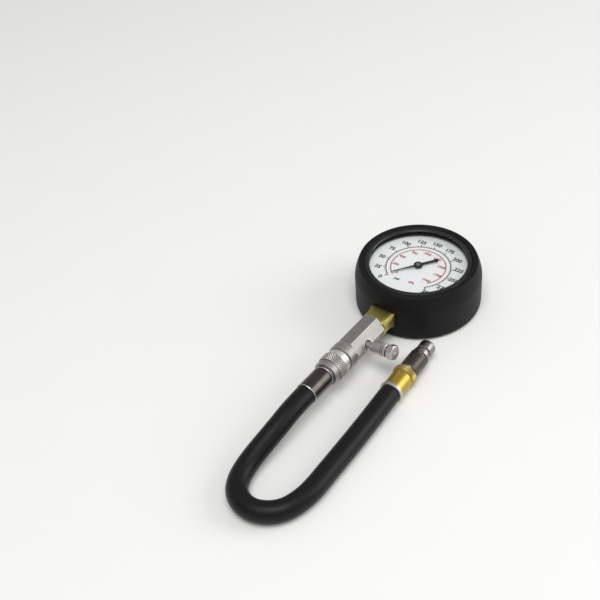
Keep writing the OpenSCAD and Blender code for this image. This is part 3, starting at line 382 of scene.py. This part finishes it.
def thread_turns():
    """Tree of a screw thread along +Y: a sheet rolled round the axis, with a ridge that winds along it."""
    floats = ("Length", "Crest", "Depth", "Pitch")
    tree, entry, close = node_tree(
        "thread_turns",
        [
            ("Along", "Int"),
            ("Around", "Int"),
            *((label, "Float") for label in floats),
            ("Material", "Material"),
        ],
    )
    calc = calculator(tree)
    sheet = add(
        tree,
        "GeometryNodeMeshGrid",
        {"Size X": 1.0, "Size Y": 1.0, "Vertices X": entry["Along"], "Vertices Y": entry["Around"]},
    ).outputs["Mesh"]
    at = add(tree, "ShaderNodeSeparateXYZ", {0: add(tree, "GeometryNodeInputPosition").outputs[0]}).outputs
    along = calc("ADD", at["X"], 0.5)
    round_share = calc("ADD", at["Y"], 0.5)
    angle = calc("MULTIPLY", round_share, math.tau)
    turns = calc("DIVIDE", entry["Length"], entry["Pitch"])
    phase = calc("FRACT", calc("SUBTRACT", calc("MULTIPLY", along, turns), round_share))
    ridge = calc("SUBTRACT", 1.0, calc("ABSOLUTE", calc("SUBTRACT", calc("MULTIPLY", phase, 2.0), 1.0)))
    # The ridge's flanks are cut off at the crest, and it fades out over the first and the last turn.
    crest = calc("MINIMUM", calc("MULTIPLY", ridge, 1.8), 1.0)
    near = calc("MINIMUM", calc("MULTIPLY", along, turns), 1.0)
    far = calc("MINIMUM", calc("MULTIPLY", calc("SUBTRACT", 1.0, along), turns), 1.0)
    height = calc("MULTIPLY", crest, calc("MINIMUM", near, far))
    root = calc("SUBTRACT", entry["Crest"], entry["Depth"])
    radius = calc("ADD", root, calc("MULTIPLY", height, entry["Depth"]))
    spot = add(
        tree,
        "ShaderNodeCombineXYZ",
        {
            "X": calc("MULTIPLY", radius, calc("COSINE", angle)),
            "Y": calc("MULTIPLY", along, entry["Length"]),
            "Z": calc("MULTIPLY", radius, calc("SINE", angle)),
        },
    ).outputs[0]
    rolled = add(tree, "GeometryNodeSetPosition", {"Geometry": sheet, "Position": spot}).outputs[0]
    close(add(tree, "GeometryNodeMergeByDistance", {"Geometry": rolled, "Distance": 1e-6}).outputs[0])
    return tree


def arc_band(name, radius, width, start, sweep, z, steps=120):
    """Printed line that follows the dial's scale, as a thin closed band."""
    edit = bmesh.new()
    inner, outer = radius - width / 2, radius + width / 2
    low, high = z - PRINT_THICK / 2, z + PRINT_THICK / 2
    corners = ((inner, low), (outer, low), (outer, high), (inner, high))
    rows = []
    for i in range(steps + 1):
        angle = start + sweep * i / steps
        rows.append([edit.verts.new(dial_place(angle, r) + Vector((0, 0, h))) for r, h in corners])
    for a, b in zip(rows, rows[1:]):
        for k in range(4):
            edit.faces.new((a[k], a[(k + 1) % 4], b[(k + 1) % 4], b[k]))
    edit.faces.new(rows[0])
    edit.faces.new(rows[-1])
    return finished(edit, name)


def lettering(name, words):
    """One mesh of several short texts, each (text, size, place), printed flat on the dial."""
    edit = bmesh.new()
    for text, size, place in words:
        curve = bpy.data.curves.new(name, "FONT")
        curve.body = text
        curve.size = size
        curve.align_x = "CENTER"
        curve.align_y = "CENTER"
        curve.extrude = PRINT_THICK / 2
        curve.resolution_u = 3
        # The strokes are made a little bolder than the font's own.
        curve.offset = 0.034 * size
        holder = bpy.data.objects.new(name, curve)
        bpy.context.scene.collection.objects.link(holder)
        mesh = evaluated(holder)
        mesh.transform(Matrix.Translation(place))
        edit.from_mesh(mesh)
        bpy.data.meshes.remove(mesh)
        bpy.data.curves.remove(curve)
    bmesh.ops.remove_doubles(edit, verts=edit.verts, dist=1e-7)
    return finished(edit, name)


def lathe(edit, profile, segments=64):
    """Adds a surface of revolution about the Y axis, from (radius, distance) points in millimetres."""
    angles = [math.tau * i / segments for i in range(segments)]
    rings = []
    for radius, along in ((r * MM, a * MM) for r, a in profile):
        around = angles if radius else angles[:1]
        rings.append([edit.verts.new((radius * math.cos(a), along, radius * math.sin(a))) for a in around])
    for a, b in zip(rings, rings[1:]):
        for i in range(segments):
            k = (i + 1) % segments
            corners = [a[i % len(a)], a[k % len(a)], b[k % len(b)], b[i % len(b)]]
            unique = list(dict.fromkeys(corners))
            if len(unique) > 2:
                edit.faces.new(unique)


# Radius to which the brass stem is turned at each distance from the gauge's middle, in millimetres: still
# square-edged where it leaves the boot, and a round with two wrench flats towards the adapter.
STEM_TURNING = (
    (44.0, 10.9),
    (47.4, 10.85),
    (48.2, 10.45),
    (49.2, 10.15),
    (50.5, 9.92),
    (52.0, 9.76),
    (54.0, 9.66),
    (58.9, 9.6),
    (59.32, 9.2),
)
# Height of the stem's middle, half of the bar's two sides,
# and the radius inside which the CAD solid is enough.
STEM_Z = 18.5
STEM_HALF_W = 9.32
STEM_HALF_H = 5.52
STEM_BORE = 3.8


def stem_outline(radius, steps=6):
    """Outline of the bar with its corners turned to a radius, as (x, z) points round the stem."""
    radius = min(radius, math.hypot(STEM_HALF_W, STEM_HALF_H))
    flat = min(STEM_HALF_W, math.sqrt(radius**2 - STEM_HALF_H**2))
    side = math.sqrt(max(0.0, radius**2 - STEM_HALF_W**2))
    start, end = math.atan2(STEM_HALF_H, flat), math.atan2(side, math.sqrt(radius**2 - side**2))
    turns = [start + (end - start) * i / steps for i in range(steps + 1)]
    corner = [(flat * i / 3, STEM_HALF_H) for i in range(3)]
    corner += [(min(STEM_HALF_W, radius * math.cos(t)), radius * math.sin(t)) for t in turns]
    corner += [(min(STEM_HALF_W, radius), side * i / 3) for i in (2, 1, 0)]
    outline = []
    for x_sign, z_sign in ((1, 1), (1, -1), (-1, -1), (-1, 1)):
        points = [(x_sign * x, z_sign * z) for x, z in corner]
        outline += (points if x_sign == z_sign else points[::-1])[:-1]
    return outline


def turned_stem():
    """Solid ring of the stem outside the gauge, with its wrench flats."""
    edit = bmesh.new()
    rings = []
    for along, radius in STEM_TURNING:
        rings.append([edit.verts.new((x, -along, STEM_Z + z)) for x, z in stem_outline(radius)])
    for along in (STEM_TURNING[-1][0], STEM_TURNING[0][0]):
        inner = [Vector((v.co.x, 0, v.co.z - STEM_Z)).normalized() * STEM_BORE for v in rings[0]]
        rings.append([edit.verts.new((v.x, -along, STEM_Z + v.z)) for v in inner])
    count = len(rings[0])
    for a, b in zip(rings, rings[1:] + rings[:1]):
        for i in range(count):
            k = (i + 1) % count
            edit.faces.new((a[i], a[k], b[k], b[i]))
    bmesh.ops.remove_doubles(edit, verts=edit.verts, dist=1e-3)
    mesh = finished(edit, "turned_stem")
    mesh.transform(Matrix.Scale(MM, 4))
    return mesh


def joined(name, first, second):
    """Mesh of two solids joined into one."""
    holder, other = (bpy.data.objects.new(name, mesh) for mesh in (first, second))
    for item in (holder, other):
        bpy.context.scene.collection.objects.link(item)
    union = holder.modifiers.new(name, "BOOLEAN")
    union.operation = "UNION"
    union.object = other
    mesh = evaluated(holder)
    bpy.data.objects.remove(other)
    return mesh


# The spark plug end as (radius, distance) points in millimetres, with the distance from the hose's far mouth.
# Behind the thread is its tail inside the ferrule, and in front are the ring, the pilot, the groove and the tip.
THREAD_START = 21.7
THREAD_LENGTH = 17.4
THREAD_TAIL = ((0, 2), (2.8, 2), (3.3, 3), (3.3, 16), (6.38, 16), (6.38, 21.6))
THREAD_FRONT = (
    (6.9, 39.12),
    (6.95, 39.3),
    (6.9, 39.5),
    (6.2, 39.8),
    (6.2, 42.9),
    (5.7, 43.4),
    (4.8, 43.4),
    (4.8, 45.0),
    (5.3, 45.0),
    (5.8, 45.5),
    (5.8, 51.2),
    # The tip's rounded edge.
    *((4 + 1.8 * math.cos(a), 51.2 + 1.8 * math.sin(a)) for a in (0.26, 0.52, 0.79, 1.05, 1.31, 1.57)),
    (2.7, 53.0),
    (2.55, 52.85),
    (2.55, 42.2),
    (0, 42.2),
)

# The hose's route from part to part, in millimetres: out of the plug's ferrule and round to the far fitting.
HOSE_MOUTH = Vector((0, -138.2, 18.5))
HOSE_FAR_MOUTH = Vector((40.4, -99.5, 8.4))
HOSE_STEP_IN = 0.6
# The far fitting points in towards the gauge by three degrees.
FAR_TURN = Matrix.Rotation(math.radians(3), 4, "Z")
FAR_BACK = FAR_TURN.to_3x3() @ Vector((0, 1, 0))
HOSE_ROUTE = [
    (0, -146, 18.4),
    (0, -157, 17.6),
    (0, -168, 15.8),
    (-0.5, -180, 13.2),
    (-1, -192, 10.6),
    (-0.5, -203, 8.6),
    (2, -213, 7.6),
    (7, -220.5, 7.3),
    (15, -225, 7.3),
    (24, -225.5, 7.3),
    (33, -221.5, 7.3),
    (39.5, -214.5, 7.3),
    (43, -205, 7.3),
    (44.5, -193, 7.3),
    (44, -176, 7.3),
    (43.3, -158, 7.3),
    (42.5, -140, 7.4),
    (41.7, -124, 7.7),
    (41, -111, 8.2),
]


def hose_line(steps=6):
    """Points along the hose's middle, in metres, from one ferrule's mouth to the other's."""
    out = Vector((0, -HOSE_STEP_IN, 0))
    knots = [HOSE_MOUTH - out, HOSE_MOUTH + out]
    knots += [Vector(point) for point in HOSE_ROUTE]
    knots += [HOSE_FAR_MOUTH - HOSE_STEP_IN * FAR_BACK, HOSE_FAR_MOUTH + HOSE_STEP_IN * FAR_BACK]
    line = [HOSE_MOUTH]
    for a, b, c, d in zip(knots, knots[1:], knots[2:], knots[3:]):
        for k in range(steps):
            t = k / steps
            line.append(
                0.5
                * (
                    2 * b
                    + (c - a) * t
                    + (2 * a - 5 * b + 4 * c - d) * t**2
                    + (3 * b - a - 3 * c + d) * t**3
                )
            )
    line += [HOSE_FAR_MOUTH - HOSE_STEP_IN * FAR_BACK, HOSE_FAR_MOUTH]
    return [point * MM for point in line]


def hose_tube(line, radius, crimp, sides=40):
    """Tube along a line, with its ends drawn in where the ferrules grip it, and a UV map in metres."""
    # Length of hose inside each ferrule.
    into = 3 * MM
    path = [line[0] + Vector((0, into, 0)), line[0], *line, line[-1], line[-1] + into * FAR_BACK]
    radii = [crimp, crimp, *[radius] * len(line), crimp, crimp]
    radii[2] = radii[-3] = (radius + crimp) / 2
    edit = bmesh.new()
    uv = edit.loops.layers.uv.new("hose")
    rings = []
    run = [0.0]
    for i, (place, r) in enumerate(zip(path, radii)):
        before = path[max(0, i - 1)]
        after = path[min(len(path) - 1, i + 1)]
        along = (after - before).normalized()
        side = along.cross(Vector((0, 0, 1))).normalized()
        rise = side.cross(along)
        angles = [math.tau * k / sides for k in range(sides)]
        rings.append(
            [edit.verts.new(place + r * (math.cos(a) * side + math.sin(a) * rise)) for a in angles]
        )
        if i:
            run.append(run[-1] + (place - path[i - 1]).length)
    for j in range(len(rings) - 1):
        for k in range(sides):
            n = (k + 1) % sides
            face = edit.faces.new((rings[j][k], rings[j][n], rings[j + 1][n], rings[j + 1][k]))
            for loop, (u, v) in zip(
                face.loops, ((run[j], k), (run[j], k + 1), (run[j + 1], k + 1), (run[j + 1], k))
            ):
                loop[uv].uv = (u, v / sides * math.tau * radius)
    edit.faces.new(rings[0])
    edit.faces.new(rings[-1])
    mesh = finished(edit, "hose_tube")
    smooth(mesh, 50)
    return mesh


def hose_rubber(colour):
    # Extruded nitrile rubber: matt black, with faint lengthwise drawing lines left by the die.
    material = bpy.data.materials.new("Extruded nitrile rubber")
    material.use_nodes = True
    tree = material.node_tree
    bsdf = tree.nodes["Principled BSDF"]
    bsdf.inputs["Specular IOR Level"].default_value = 0.24
    place = add(tree, "ShaderNodeUVMap", uv_map="hose").outputs[0]
    # Drawing lines are about 0.6 mm apart and run for some 30 mm.
    drawn = add(tree, "ShaderNodeMapping", {"Vector": place, "Scale": (0.02, 1.0, 1.0)}).outputs[0]
    lines = add(tree, "ShaderNodeTexNoise", {"Vector": drawn, "Scale": 1 / (0.6 * MM), "Detail": 2.0})
    bloom = add(tree, "ShaderNodeTexNoise", {"Vector": place, "Scale": 1 / (14 * MM), "Detail": 4.0})
    mixed = add(
        tree,
        "ShaderNodeMix",
        {0: bloom.outputs["Fac"], 6: shade(colour, 0.75), 7: shade(colour, 1.5)},
        data_type="RGBA",
    )
    gloss = add(tree, "ShaderNodeMapRange", {"Value": bloom.outputs["Fac"], "To Min": 0.36, "To Max": 0.5})
    relief = add(
        tree, "ShaderNodeBump", {"Height": lines.outputs["Fac"], "Strength": 0.35, "Distance": 0.05 * MM}
    )
    tree.links.new(mixed.outputs[2], bsdf.inputs["Base Color"])
    tree.links.new(gloss.outputs["Result"], bsdf.inputs["Roughness"])
    tree.links.new(relief.outputs["Normal"], bsdf.inputs["Normal"])
    return material


class TESTER_OT_stage(bpy.types.Operator):
    """Floor, lamps, sky and camera"""

    bl_idname = "tester.stage"
    bl_label = "Stage"

    def execute(self, context):
        settings = context.scene.tester.stage
        scene = context.scene
        scene.view_settings.view_transform = "Standard"

        eye = bpy.data.cameras.new("camera")
        eye.sensor_width = 36
        eye.lens = CAMERA_LENS
        camera = bpy.data.objects.new("camera", eye)
        turn = Matrix(CAMERA_AXES).transposed().to_4x4()
        camera.matrix_world = Matrix.Translation(CAMERA_PLACE) @ turn
        scene.collection.objects.link(camera)
        scene.camera = camera

        mesh = bpy.data.meshes.new("floor")
        corners = [(FLOOR_HALF * x, FLOOR_HALF * y, 0) for x, y in ((-1, -1), (1, -1), (1, 1), (-1, 1))]
        mesh.from_pydata(corners, [], [(0, 1, 2, 3)])
        floor = bpy.data.objects.new("floor", mesh)
        scene.collection.objects.link(floor)
        # Matt paper sweep: pale and even, it only takes the object's shadow.
        mesh.materials.append(surface("Paper sweep", settings.floor, 0.01, 40, 2, (0.8, 0.9), 0.01))

        for name, power, size, place in (
            ("key", settings.key, 1.2, (0.4, -0.62, 1.9)),
            ("side", settings.side, 1.4, (1.5, 1.28, 1.0)),
        ):
            lamp = bpy.data.lights.new(name, "AREA")
            lamp.energy = power
            lamp.size = size
            light = bpy.data.objects.new(name, lamp)
            aim = Vector(LAMP_AIM) - Vector(place)
            turn = aim.to_track_quat("-Z", "Y").to_matrix().to_4x4()
            light.matrix_world = Matrix.Translation(place) @ turn
            scene.collection.objects.link(light)

        world = bpy.data.worlds.new("studio")
        world.use_nodes = True
        scene.world = world
        tree = world.node_tree
        tree.nodes.clear()
        sky = add(tree, "ShaderNodeBackground", {"Color": (1, 1, 1, 1), "Strength": settings.sky}).outputs[0]
        add(tree, "ShaderNodeOutputWorld", {"Surface": sky})
        return {"FINISHED"}


class TESTER_OT_hose(bpy.types.Operator):
    """Rubber hose from the plug's ferrule to the spark plug end"""

    bl_idname = "tester.hose"
    bl_label = "Hose"

    def execute(self, context):
        settings = context.scene.tester.hose
        line = hose_line()
        mesh = hose_tube(line, settings.diameter / 2, settings.crimp / 2)
        hose = piece("hose_tube", mesh, "hose_line", hose_rubber(settings.rubber), ["hose"])
        length = sum((b - a).length for a, b in zip(line, line[1:]))
        fittings = ("end_ring", "end_ferrule", "grip_ring", "valve_core", "core_spring", "core_pin")
        on_hose = [NODES[name] for name in fittings]
        # The fittings give the threaded end a piece of its own. Until then its CAD solid is on the hose.
        on_hose.append(bpy.data.objects.get("spark_plug_thread", NODES["threaded_end"]))
        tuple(line[0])
        return {"FINISHED"}


class TESTER_OT_dial(bpy.types.Operator):
    """Dial, its printed scales and figures, and the pointer"""

    bl_idname = "tester.dial"
    bl_label = "Dial"

    def execute(self, context):
        s = context.scene.tester.dial
        z = s.face_z + PRINT_LIFT
        # Stoved white enamel on a thin plate and its screws: even, slightly satin.
        enamel = surface("Stoved white enamel", s.white, 0.015, 12, 0.8, (0.32, 0.42), 0.004)
        dress(enamel, "dial_plate", "dial_screws")
        # Screen-printed ink: flat and a little uneven.
        ink = surface("Black screen ink", s.ink, 0.25, 1.5, 0.5, (0.5, 0.65), 0.004)
        red = surface("Red screen ink", s.red_ink, 0.12, 1.5, 0.5, (0.5, 0.65), 0.004)
        tree = tick_ring()
        red_sweep = s.sweep * KPA_FULL / (PSI_FULL * KPA_PER_PSI)
        marks = PSI_FULL // PSI_STEP
        red_marks = KPA_FULL // KPA_STEP
        for name, count, sweep, radius, length, width, material in (
            ("figure_ticks", marks + 1, s.sweep, s.scale_r, 2.3 * MM, 0.75 * MM, ink),
            ("fine_ticks", 5 * marks + 1, s.sweep, s.scale_r, 1.3 * MM, 0.42 * MM, ink),
            ("red_figure_ticks", red_marks + 1, red_sweep, s.red_r - 1.5 * MM, 1.5 * MM, 0.6 * MM, red),
            ("red_fine_ticks", 5 * red_marks + 1, red_sweep, s.red_r - 0.9 * MM, 0.9 * MM, 0.36 * MM, red),
        ):
            values = {
                "Count": count,
                "Start": s.zero,
                "Sweep": sweep,
                "Radius": radius,
                "Length": length,
                "Width": width,
                "Height": z,
                "Material": material,
            }
            piece(name, node_piece(name, tree, values), "gauge")
        for name, radius, width, sweep, material in (
            ("scale_line", s.scale_r, 0.6 * MM, s.sweep, ink),
            ("red_line", s.red_r, 0.65 * MM, red_sweep, red),
        ):
            piece(name, arc_band(name, radius, width, s.zero, sweep, z), "gauge", material)
        up = Vector((0, 0, z))
        for name, step, count, sweep, radius, size, unit, material in (
            (
                "black_figures",
                PSI_STEP,
                marks,
                s.sweep,
                s.figure_r,
                s.figure_size,
                ("psi", 3.6 * MM, dial_place(math.radians(17), 20 * MM) + up),
                ink,
            ),
            (
                "red_figures",
                KPA_STEP,
                red_marks,
                red_sweep,
                s.red_figure_r,
                s.red_figure_size,
                ("kPa", 3.2 * MM, dial_place(math.radians(343.6), 18.5 * MM) + up),
                red,
            ),
        ):
            words = []
            for i in range(count + 1):
                words.append((str(step * i), size, dial_place(s.zero + sweep * i / count, radius) + up))
            piece(name, lettering(name, [*words, unit]), "gauge", material)
        # Lacquered aluminium: deep black with a soft gloss.
        dress(surface("Black lacquer", linear("#131314"), 0.2, 4, 0.6, (0.3, 0.42), 0.004), "pointer")
        # Turned nickel silver: the pressed boss in the middle of the pointer, with fine rings.
        boss = surface(
            "Turned nickel silver", linear("#a9a49b"), 0.12, 1, 0.2, (0.24, 0.36), 0.004, Metallic=1.0
        )
        edit = bmesh.new()
        lathe(edit, ((0, 0), (1.7, 0), (1.7, 0.2), (1.5, 0.32), (0.6, 0.35), (0, 0.35)))
        mesh = finished(edit, "pointer_boss")
        top = Matrix.Translation((0, 0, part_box("pointer")[1].z))
        mesh.transform(top @ Matrix.Rotation(math.pi / 2, 4, "X"))
        smooth(mesh, 30)
        piece("pointer_boss", mesh, "pointer", boss)
        return {"FINISHED"}


class TESTER_OT_gauge(bpy.types.Operator):
    """Rubber boot, case, bezel, lens and the screws and seals of the gauge"""

    bl_idname = "tester.gauge"
    bl_label = "Gauge"

    def execute(self, context):
        s = context.scene.tester.hose
        # Moulded nitrile rubber: near black, with a fine matt skin that catches a grey sheen on its lip.
        boot = surface(
            "Moulded nitrile rubber", s.boot, 0.3, 9, 0.7, (0.45, 0.6), 0.03, Specular_IOR_Level=0.18
        )
        dress(boot, "rubber_boot")
        # Stoved black enamel on pressed steel: smooth, satin.
        enamel = surface("Black stoved enamel", linear("#161617"), 0.2, 6, 0.5, (0.26, 0.36), 0.006)
        dress(enamel, "bezel_ring", "gauge_case")
        # Clear acrylic sheet: it lets the dial through and only shows a faint gloss.
        lens = surface("Clear acrylic", linear("#0c0d0e"), 0.01, 20, 5, (0.03, 0.06), 0.001, Alpha=0.04)
        dress(lens, "lens")
        # Nitrile sealing rings: black and dull.
        seal = surface("Sealing rubber", linear("#141414"), 0.2, 3, 0.4, (0.6, 0.75), 0.02)
        dress(seal, "lens_gasket", "adapter_seal", "relief_seal", "coupler_seal")
        # Zinc-plated steel screws: pale grey, turned.
        zinc = surface("Zinc-plated steel", linear("#c3c6c8"), 0.08, 2, 0.3, (0.28, 0.4), 0.01, Metallic=1.0)
        dress(zinc, "case_screws", "movement_screws", "coupler_balls", "core_pin")
        return {"FINISHED"}


class TESTER_OT_movement(bpy.types.Operator):
    """Bourdon tube, gear movement and springs"""

    bl_idname = "tester.movement"
    bl_label = "Movement"

    def execute(self, context):
        # Stamped clock brass: yellow, with fine lines from rolling.
        brass = surface(
            "Stamped brass", linear("#b9974a"), 0.08, 5, 0.25, (0.25, 0.38), 0.006, (1, 0.06, 1), Metallic=1.0
        )
        dress(
            brass,
            "pointer_arbor",
            "sector_gear",
            "link_bar",
            "movement_bottom_plate",
            "movement_top_plate",
            "movement_pillars",
            "valve_core",
        )
        # Drawn phosphor bronze: redder than brass, with a dull drawn skin.
        bronze = surface("Phosphor bronze", linear("#a3713a"), 0.12, 6, 0.4, (0.32, 0.45), 0.01, Metallic=1.0)
        dress(bronze, "bourdon_tube", "tube_tip")
        # Spring steel wire: grey and lightly oiled.
        steel = surface("Spring steel", linear("#8e9295"), 0.1, 2, 0.3, (0.3, 0.42), 0.008, Metallic=1.0)
        dress(steel, "hairspring", "relief_spring", "coupler_spring", "core_spring", "coupler_snap_ring")
        return {"FINISHED"}


class TESTER_OT_stem(bpy.types.Operator):
    """Brass stem, hexagonal adapter and relief valve"""

    bl_idname = "tester.stem"
    bl_label = "Stem and relief valve"

    def execute(self, context):
        s = context.scene.tester.metal
        # Milled brass bar: olive gold, dulled by handling, with fine cutter lines along the stem.
        # Its outer edges are painted lighter, rubbed wear with a painted highlight, and its grooves darker,
        # painted shade.
        brass = surface(
            "Milled brass", s.brass, 0.14, 5, 0.35, (0.3, 0.46), 0.02, (1, 0.1, 1), 0.7, Metallic=1.0
        )
        # The stem is the CAD solid with wider flats, as in the photograph.
        edit = bmesh.new()
        edit.from_mesh(NODES["gauge_socket"].data)
        bmesh.ops.remove_doubles(edit, verts=edit.verts, dist=1e-6)
        stem = joined("brass_stem", finished(edit, "stem_blank"), turned_stem())
        smooth(stem, 30)
        piece("brass_stem", stem, "gauge", brass, ["gauge_socket"])
        # Blasted nickel plate: pale, with a fine grit that breaks up every highlight.
        # The grit is really some 0.1 mm and is drawn at 0.5 mm so that it shows.
        # Its outer edges are painted lighter, rubbed wear with a painted highlight, and its grooves darker,
        # painted shade.
        nickel = surface(
            "Blasted nickel plate", s.nickel, 0.45, 0.7, 0.5, (0.4, 0.56), 0.05, wear_and_painted_light_mm=0.9, Metallic=1.0
        )
        dress(nickel, "adapter_body", "coupler_body", "coupler_sleeve")
        # Bright nickel plate on turned brass: fine rings round the valve.
        # Its outer edges are painted lighter, rubbed wear with a painted highlight, and its grooves darker,
        # painted shade.
        bright = surface(
            "Bright nickel plate", s.bright, 0.18, 1.2, 0.4, (0.3, 0.44), 0.02, (6, 1, 1), 0.8, Metallic=1.0
        )
        dress(bright, "relief_body", "relief_button", "relief_stem", "end_ring")
        return {"FINISHED"}


class TESTER_OT_fittings(bpy.types.Operator):
    """Ferrules, grip ring and the threaded spark plug end"""

    bl_idname = "tester.fittings"
    bl_label = "Hose fittings"

    def execute(self, context):
        s = context.scene.tester.metal
        t = context.scene.tester.thread
        # Black oxide on cut steel: dark brown grey, with a thin shine on the crests. The crests are also painted
        # lighter, rubbed wear with a painted highlight, and the grooves darker, painted shade.
        brown_grey = linear("#66615c")
        oxide = surface(
            "Black oxide steel", brown_grey, 0.35, 2, 0.6, (0.18, 0.32), 0.01, (1, 0.1, 1), 0.5, Metallic=1.0
        )
        # Polished plating on the plug and its ferrule, its colour painted dark as a painted reflection of dark
        # surroundings, with clear bright streaks along each tube. Outer edges are painted lighter, rubbed wear
        # with a painted highlight, and grooves darker, painted shade.
        dark = surface(
            "Polished plating painted dark", s.plating_painted_dark, 0.3, 4, 0.9, (0.16, 0.34), 0.03, (1, 0.05, 1), 0.6, Metallic=1.0
        )
        dress(dark, "plug_ferrule", "hose_plug")
        # Gold-coloured chromate over polished steel: warm yellow, with a soft broad shine.
        # Its outer edges are painted lighter, rubbed wear with a painted highlight, and its grooves darker,
        # painted shade.
        gold = surface("Gold chromate", s.gold, 0.1, 4, 0.4, (0.32, 0.44), 0.006, wear_and_painted_light_mm=0.6, Metallic=1.0)
        dress(gold, "end_ferrule")
        # Knurled brass: pale crests, rubbed wear with a painted highlight, over grooves darkened by painted
        # shade.
        knurled = surface(
            "Knurled brass", linear("#a8955a"), 0.3, 0.9, 0.3, (0.34, 0.5), 0.02, wear_and_painted_light_mm=0.5, Metallic=1.0
        )
        dress(knurled, "grip_ring")
        # Polished edge of the plug's ferrule: the plating is worn bright on its rolled rim.
        rim = surface("Worn nickel rim", s.bright, 0.2, 1, 0.3, (0.26, 0.4), 0.01, Metallic=1.0)
        edit = bmesh.new()
        outline = ((7.3, -0.05), (7.7, -0.05), (8.0, 0.35), (8.0, 0.55), (7.7, 0.92), (7.3, 0.92))
        lathe(edit, (*outline, outline[0]))
        bmesh.ops.remove_doubles(edit, verts=edit.verts, dist=1e-6)
        mesh = finished(edit, "ferrule_rim")
        mesh.transform(Matrix.Translation(HOSE_MOUTH * MM))
        smooth(mesh, 40)
        piece("ferrule_rim", mesh, "hose_line", rim)

        # Bright nickel plate again, darker, on the turned pilot and tip in front of the thread.
        dull = shade(s.bright, 0.55)
        bright = surface(
            "Bright nickel tip", dull, 0.2, 2, 0.4, (0.24, 0.36), 0.01, (1, 6, 1), Metallic=1.0
        )
        values = {
            "Along": 136,
            "Around": 65,
            "Length": THREAD_LENGTH * MM,
            "Crest": t.crest,
            "Depth": t.depth,
            "Pitch": t.pitch,
            "Material": oxide,
        }
        turns = node_piece("thread_turns", thread_turns(), values)
        turns.transform(Matrix.Translation((0, THREAD_START * MM, 0)))
        edit = bmesh.new()
        edit.from_mesh(turns)
        bpy.data.meshes.remove(turns)
        root = (t.crest - t.depth) / MM
        lathe(edit, (*THREAD_TAIL, (root, THREAD_START)))
        threaded = len(edit.faces)
        lathe(edit, ((root, THREAD_START + THREAD_LENGTH), *THREAD_FRONT))
        for i, face in enumerate(edit.faces):
            face.material_index = 1 if i >= threaded else 0
        bmesh.ops.remove_doubles(edit, verts=edit.verts, dist=1e-6)
        mesh = finished(edit, "spark_plug_thread")
        mesh.transform(Matrix.Translation(HOSE_FAR_MOUTH * MM) @ FAR_TURN)
        smooth(mesh, 30)
        mesh.materials.append(oxide)
        mesh.materials.append(bright)
        piece("spark_plug_thread", mesh, "hose_line", replaces=["threaded_end"])
        return {"FINISHED"}


class TESTER_PT_panel(bpy.types.Panel):
    """Buttons for each group of pieces"""

    bl_idname = "TESTER_PT_panel"
    bl_label = "Compression tester"
    bl_space_type = "VIEW_3D"
    bl_region_type = "UI"
    bl_category = "Tester"

    def draw(self, context):
        for operator in OPERATORS:
            self.layout.operator(operator.bl_idname)


OPERATORS = (
    TESTER_OT_stage,
    TESTER_OT_fittings,
    TESTER_OT_hose,
    TESTER_OT_dial,
    TESTER_OT_gauge,
    TESTER_OT_movement,
    TESTER_OT_stem,
)
CLASSES = (
    DialSettings,
    HoseSettings,
    ThreadSettings,
    MetalSettings,
    StageSettings,
    TesterSettings,
    *OPERATORS,
    TESTER_PT_panel,
)


def register():
    for item in CLASSES:
        bpy.utils.register_class(item)
    bpy.types.Scene.tester = bpy.props.PointerProperty(type=TesterSettings)


def unregister():
    del bpy.types.Scene.tester
    for item in reversed(CLASSES):
        bpy.utils.unregister_class(item)


def main():
    register()
    bpy.ops.tester.stage()
    bpy.ops.tester.fittings()
    bpy.ops.tester.hose()
    bpy.ops.tester.dial()
    bpy.ops.tester.gauge()
    bpy.ops.tester.movement()
    bpy.ops.tester.stem()


if __name__ == "__main__":
    main()
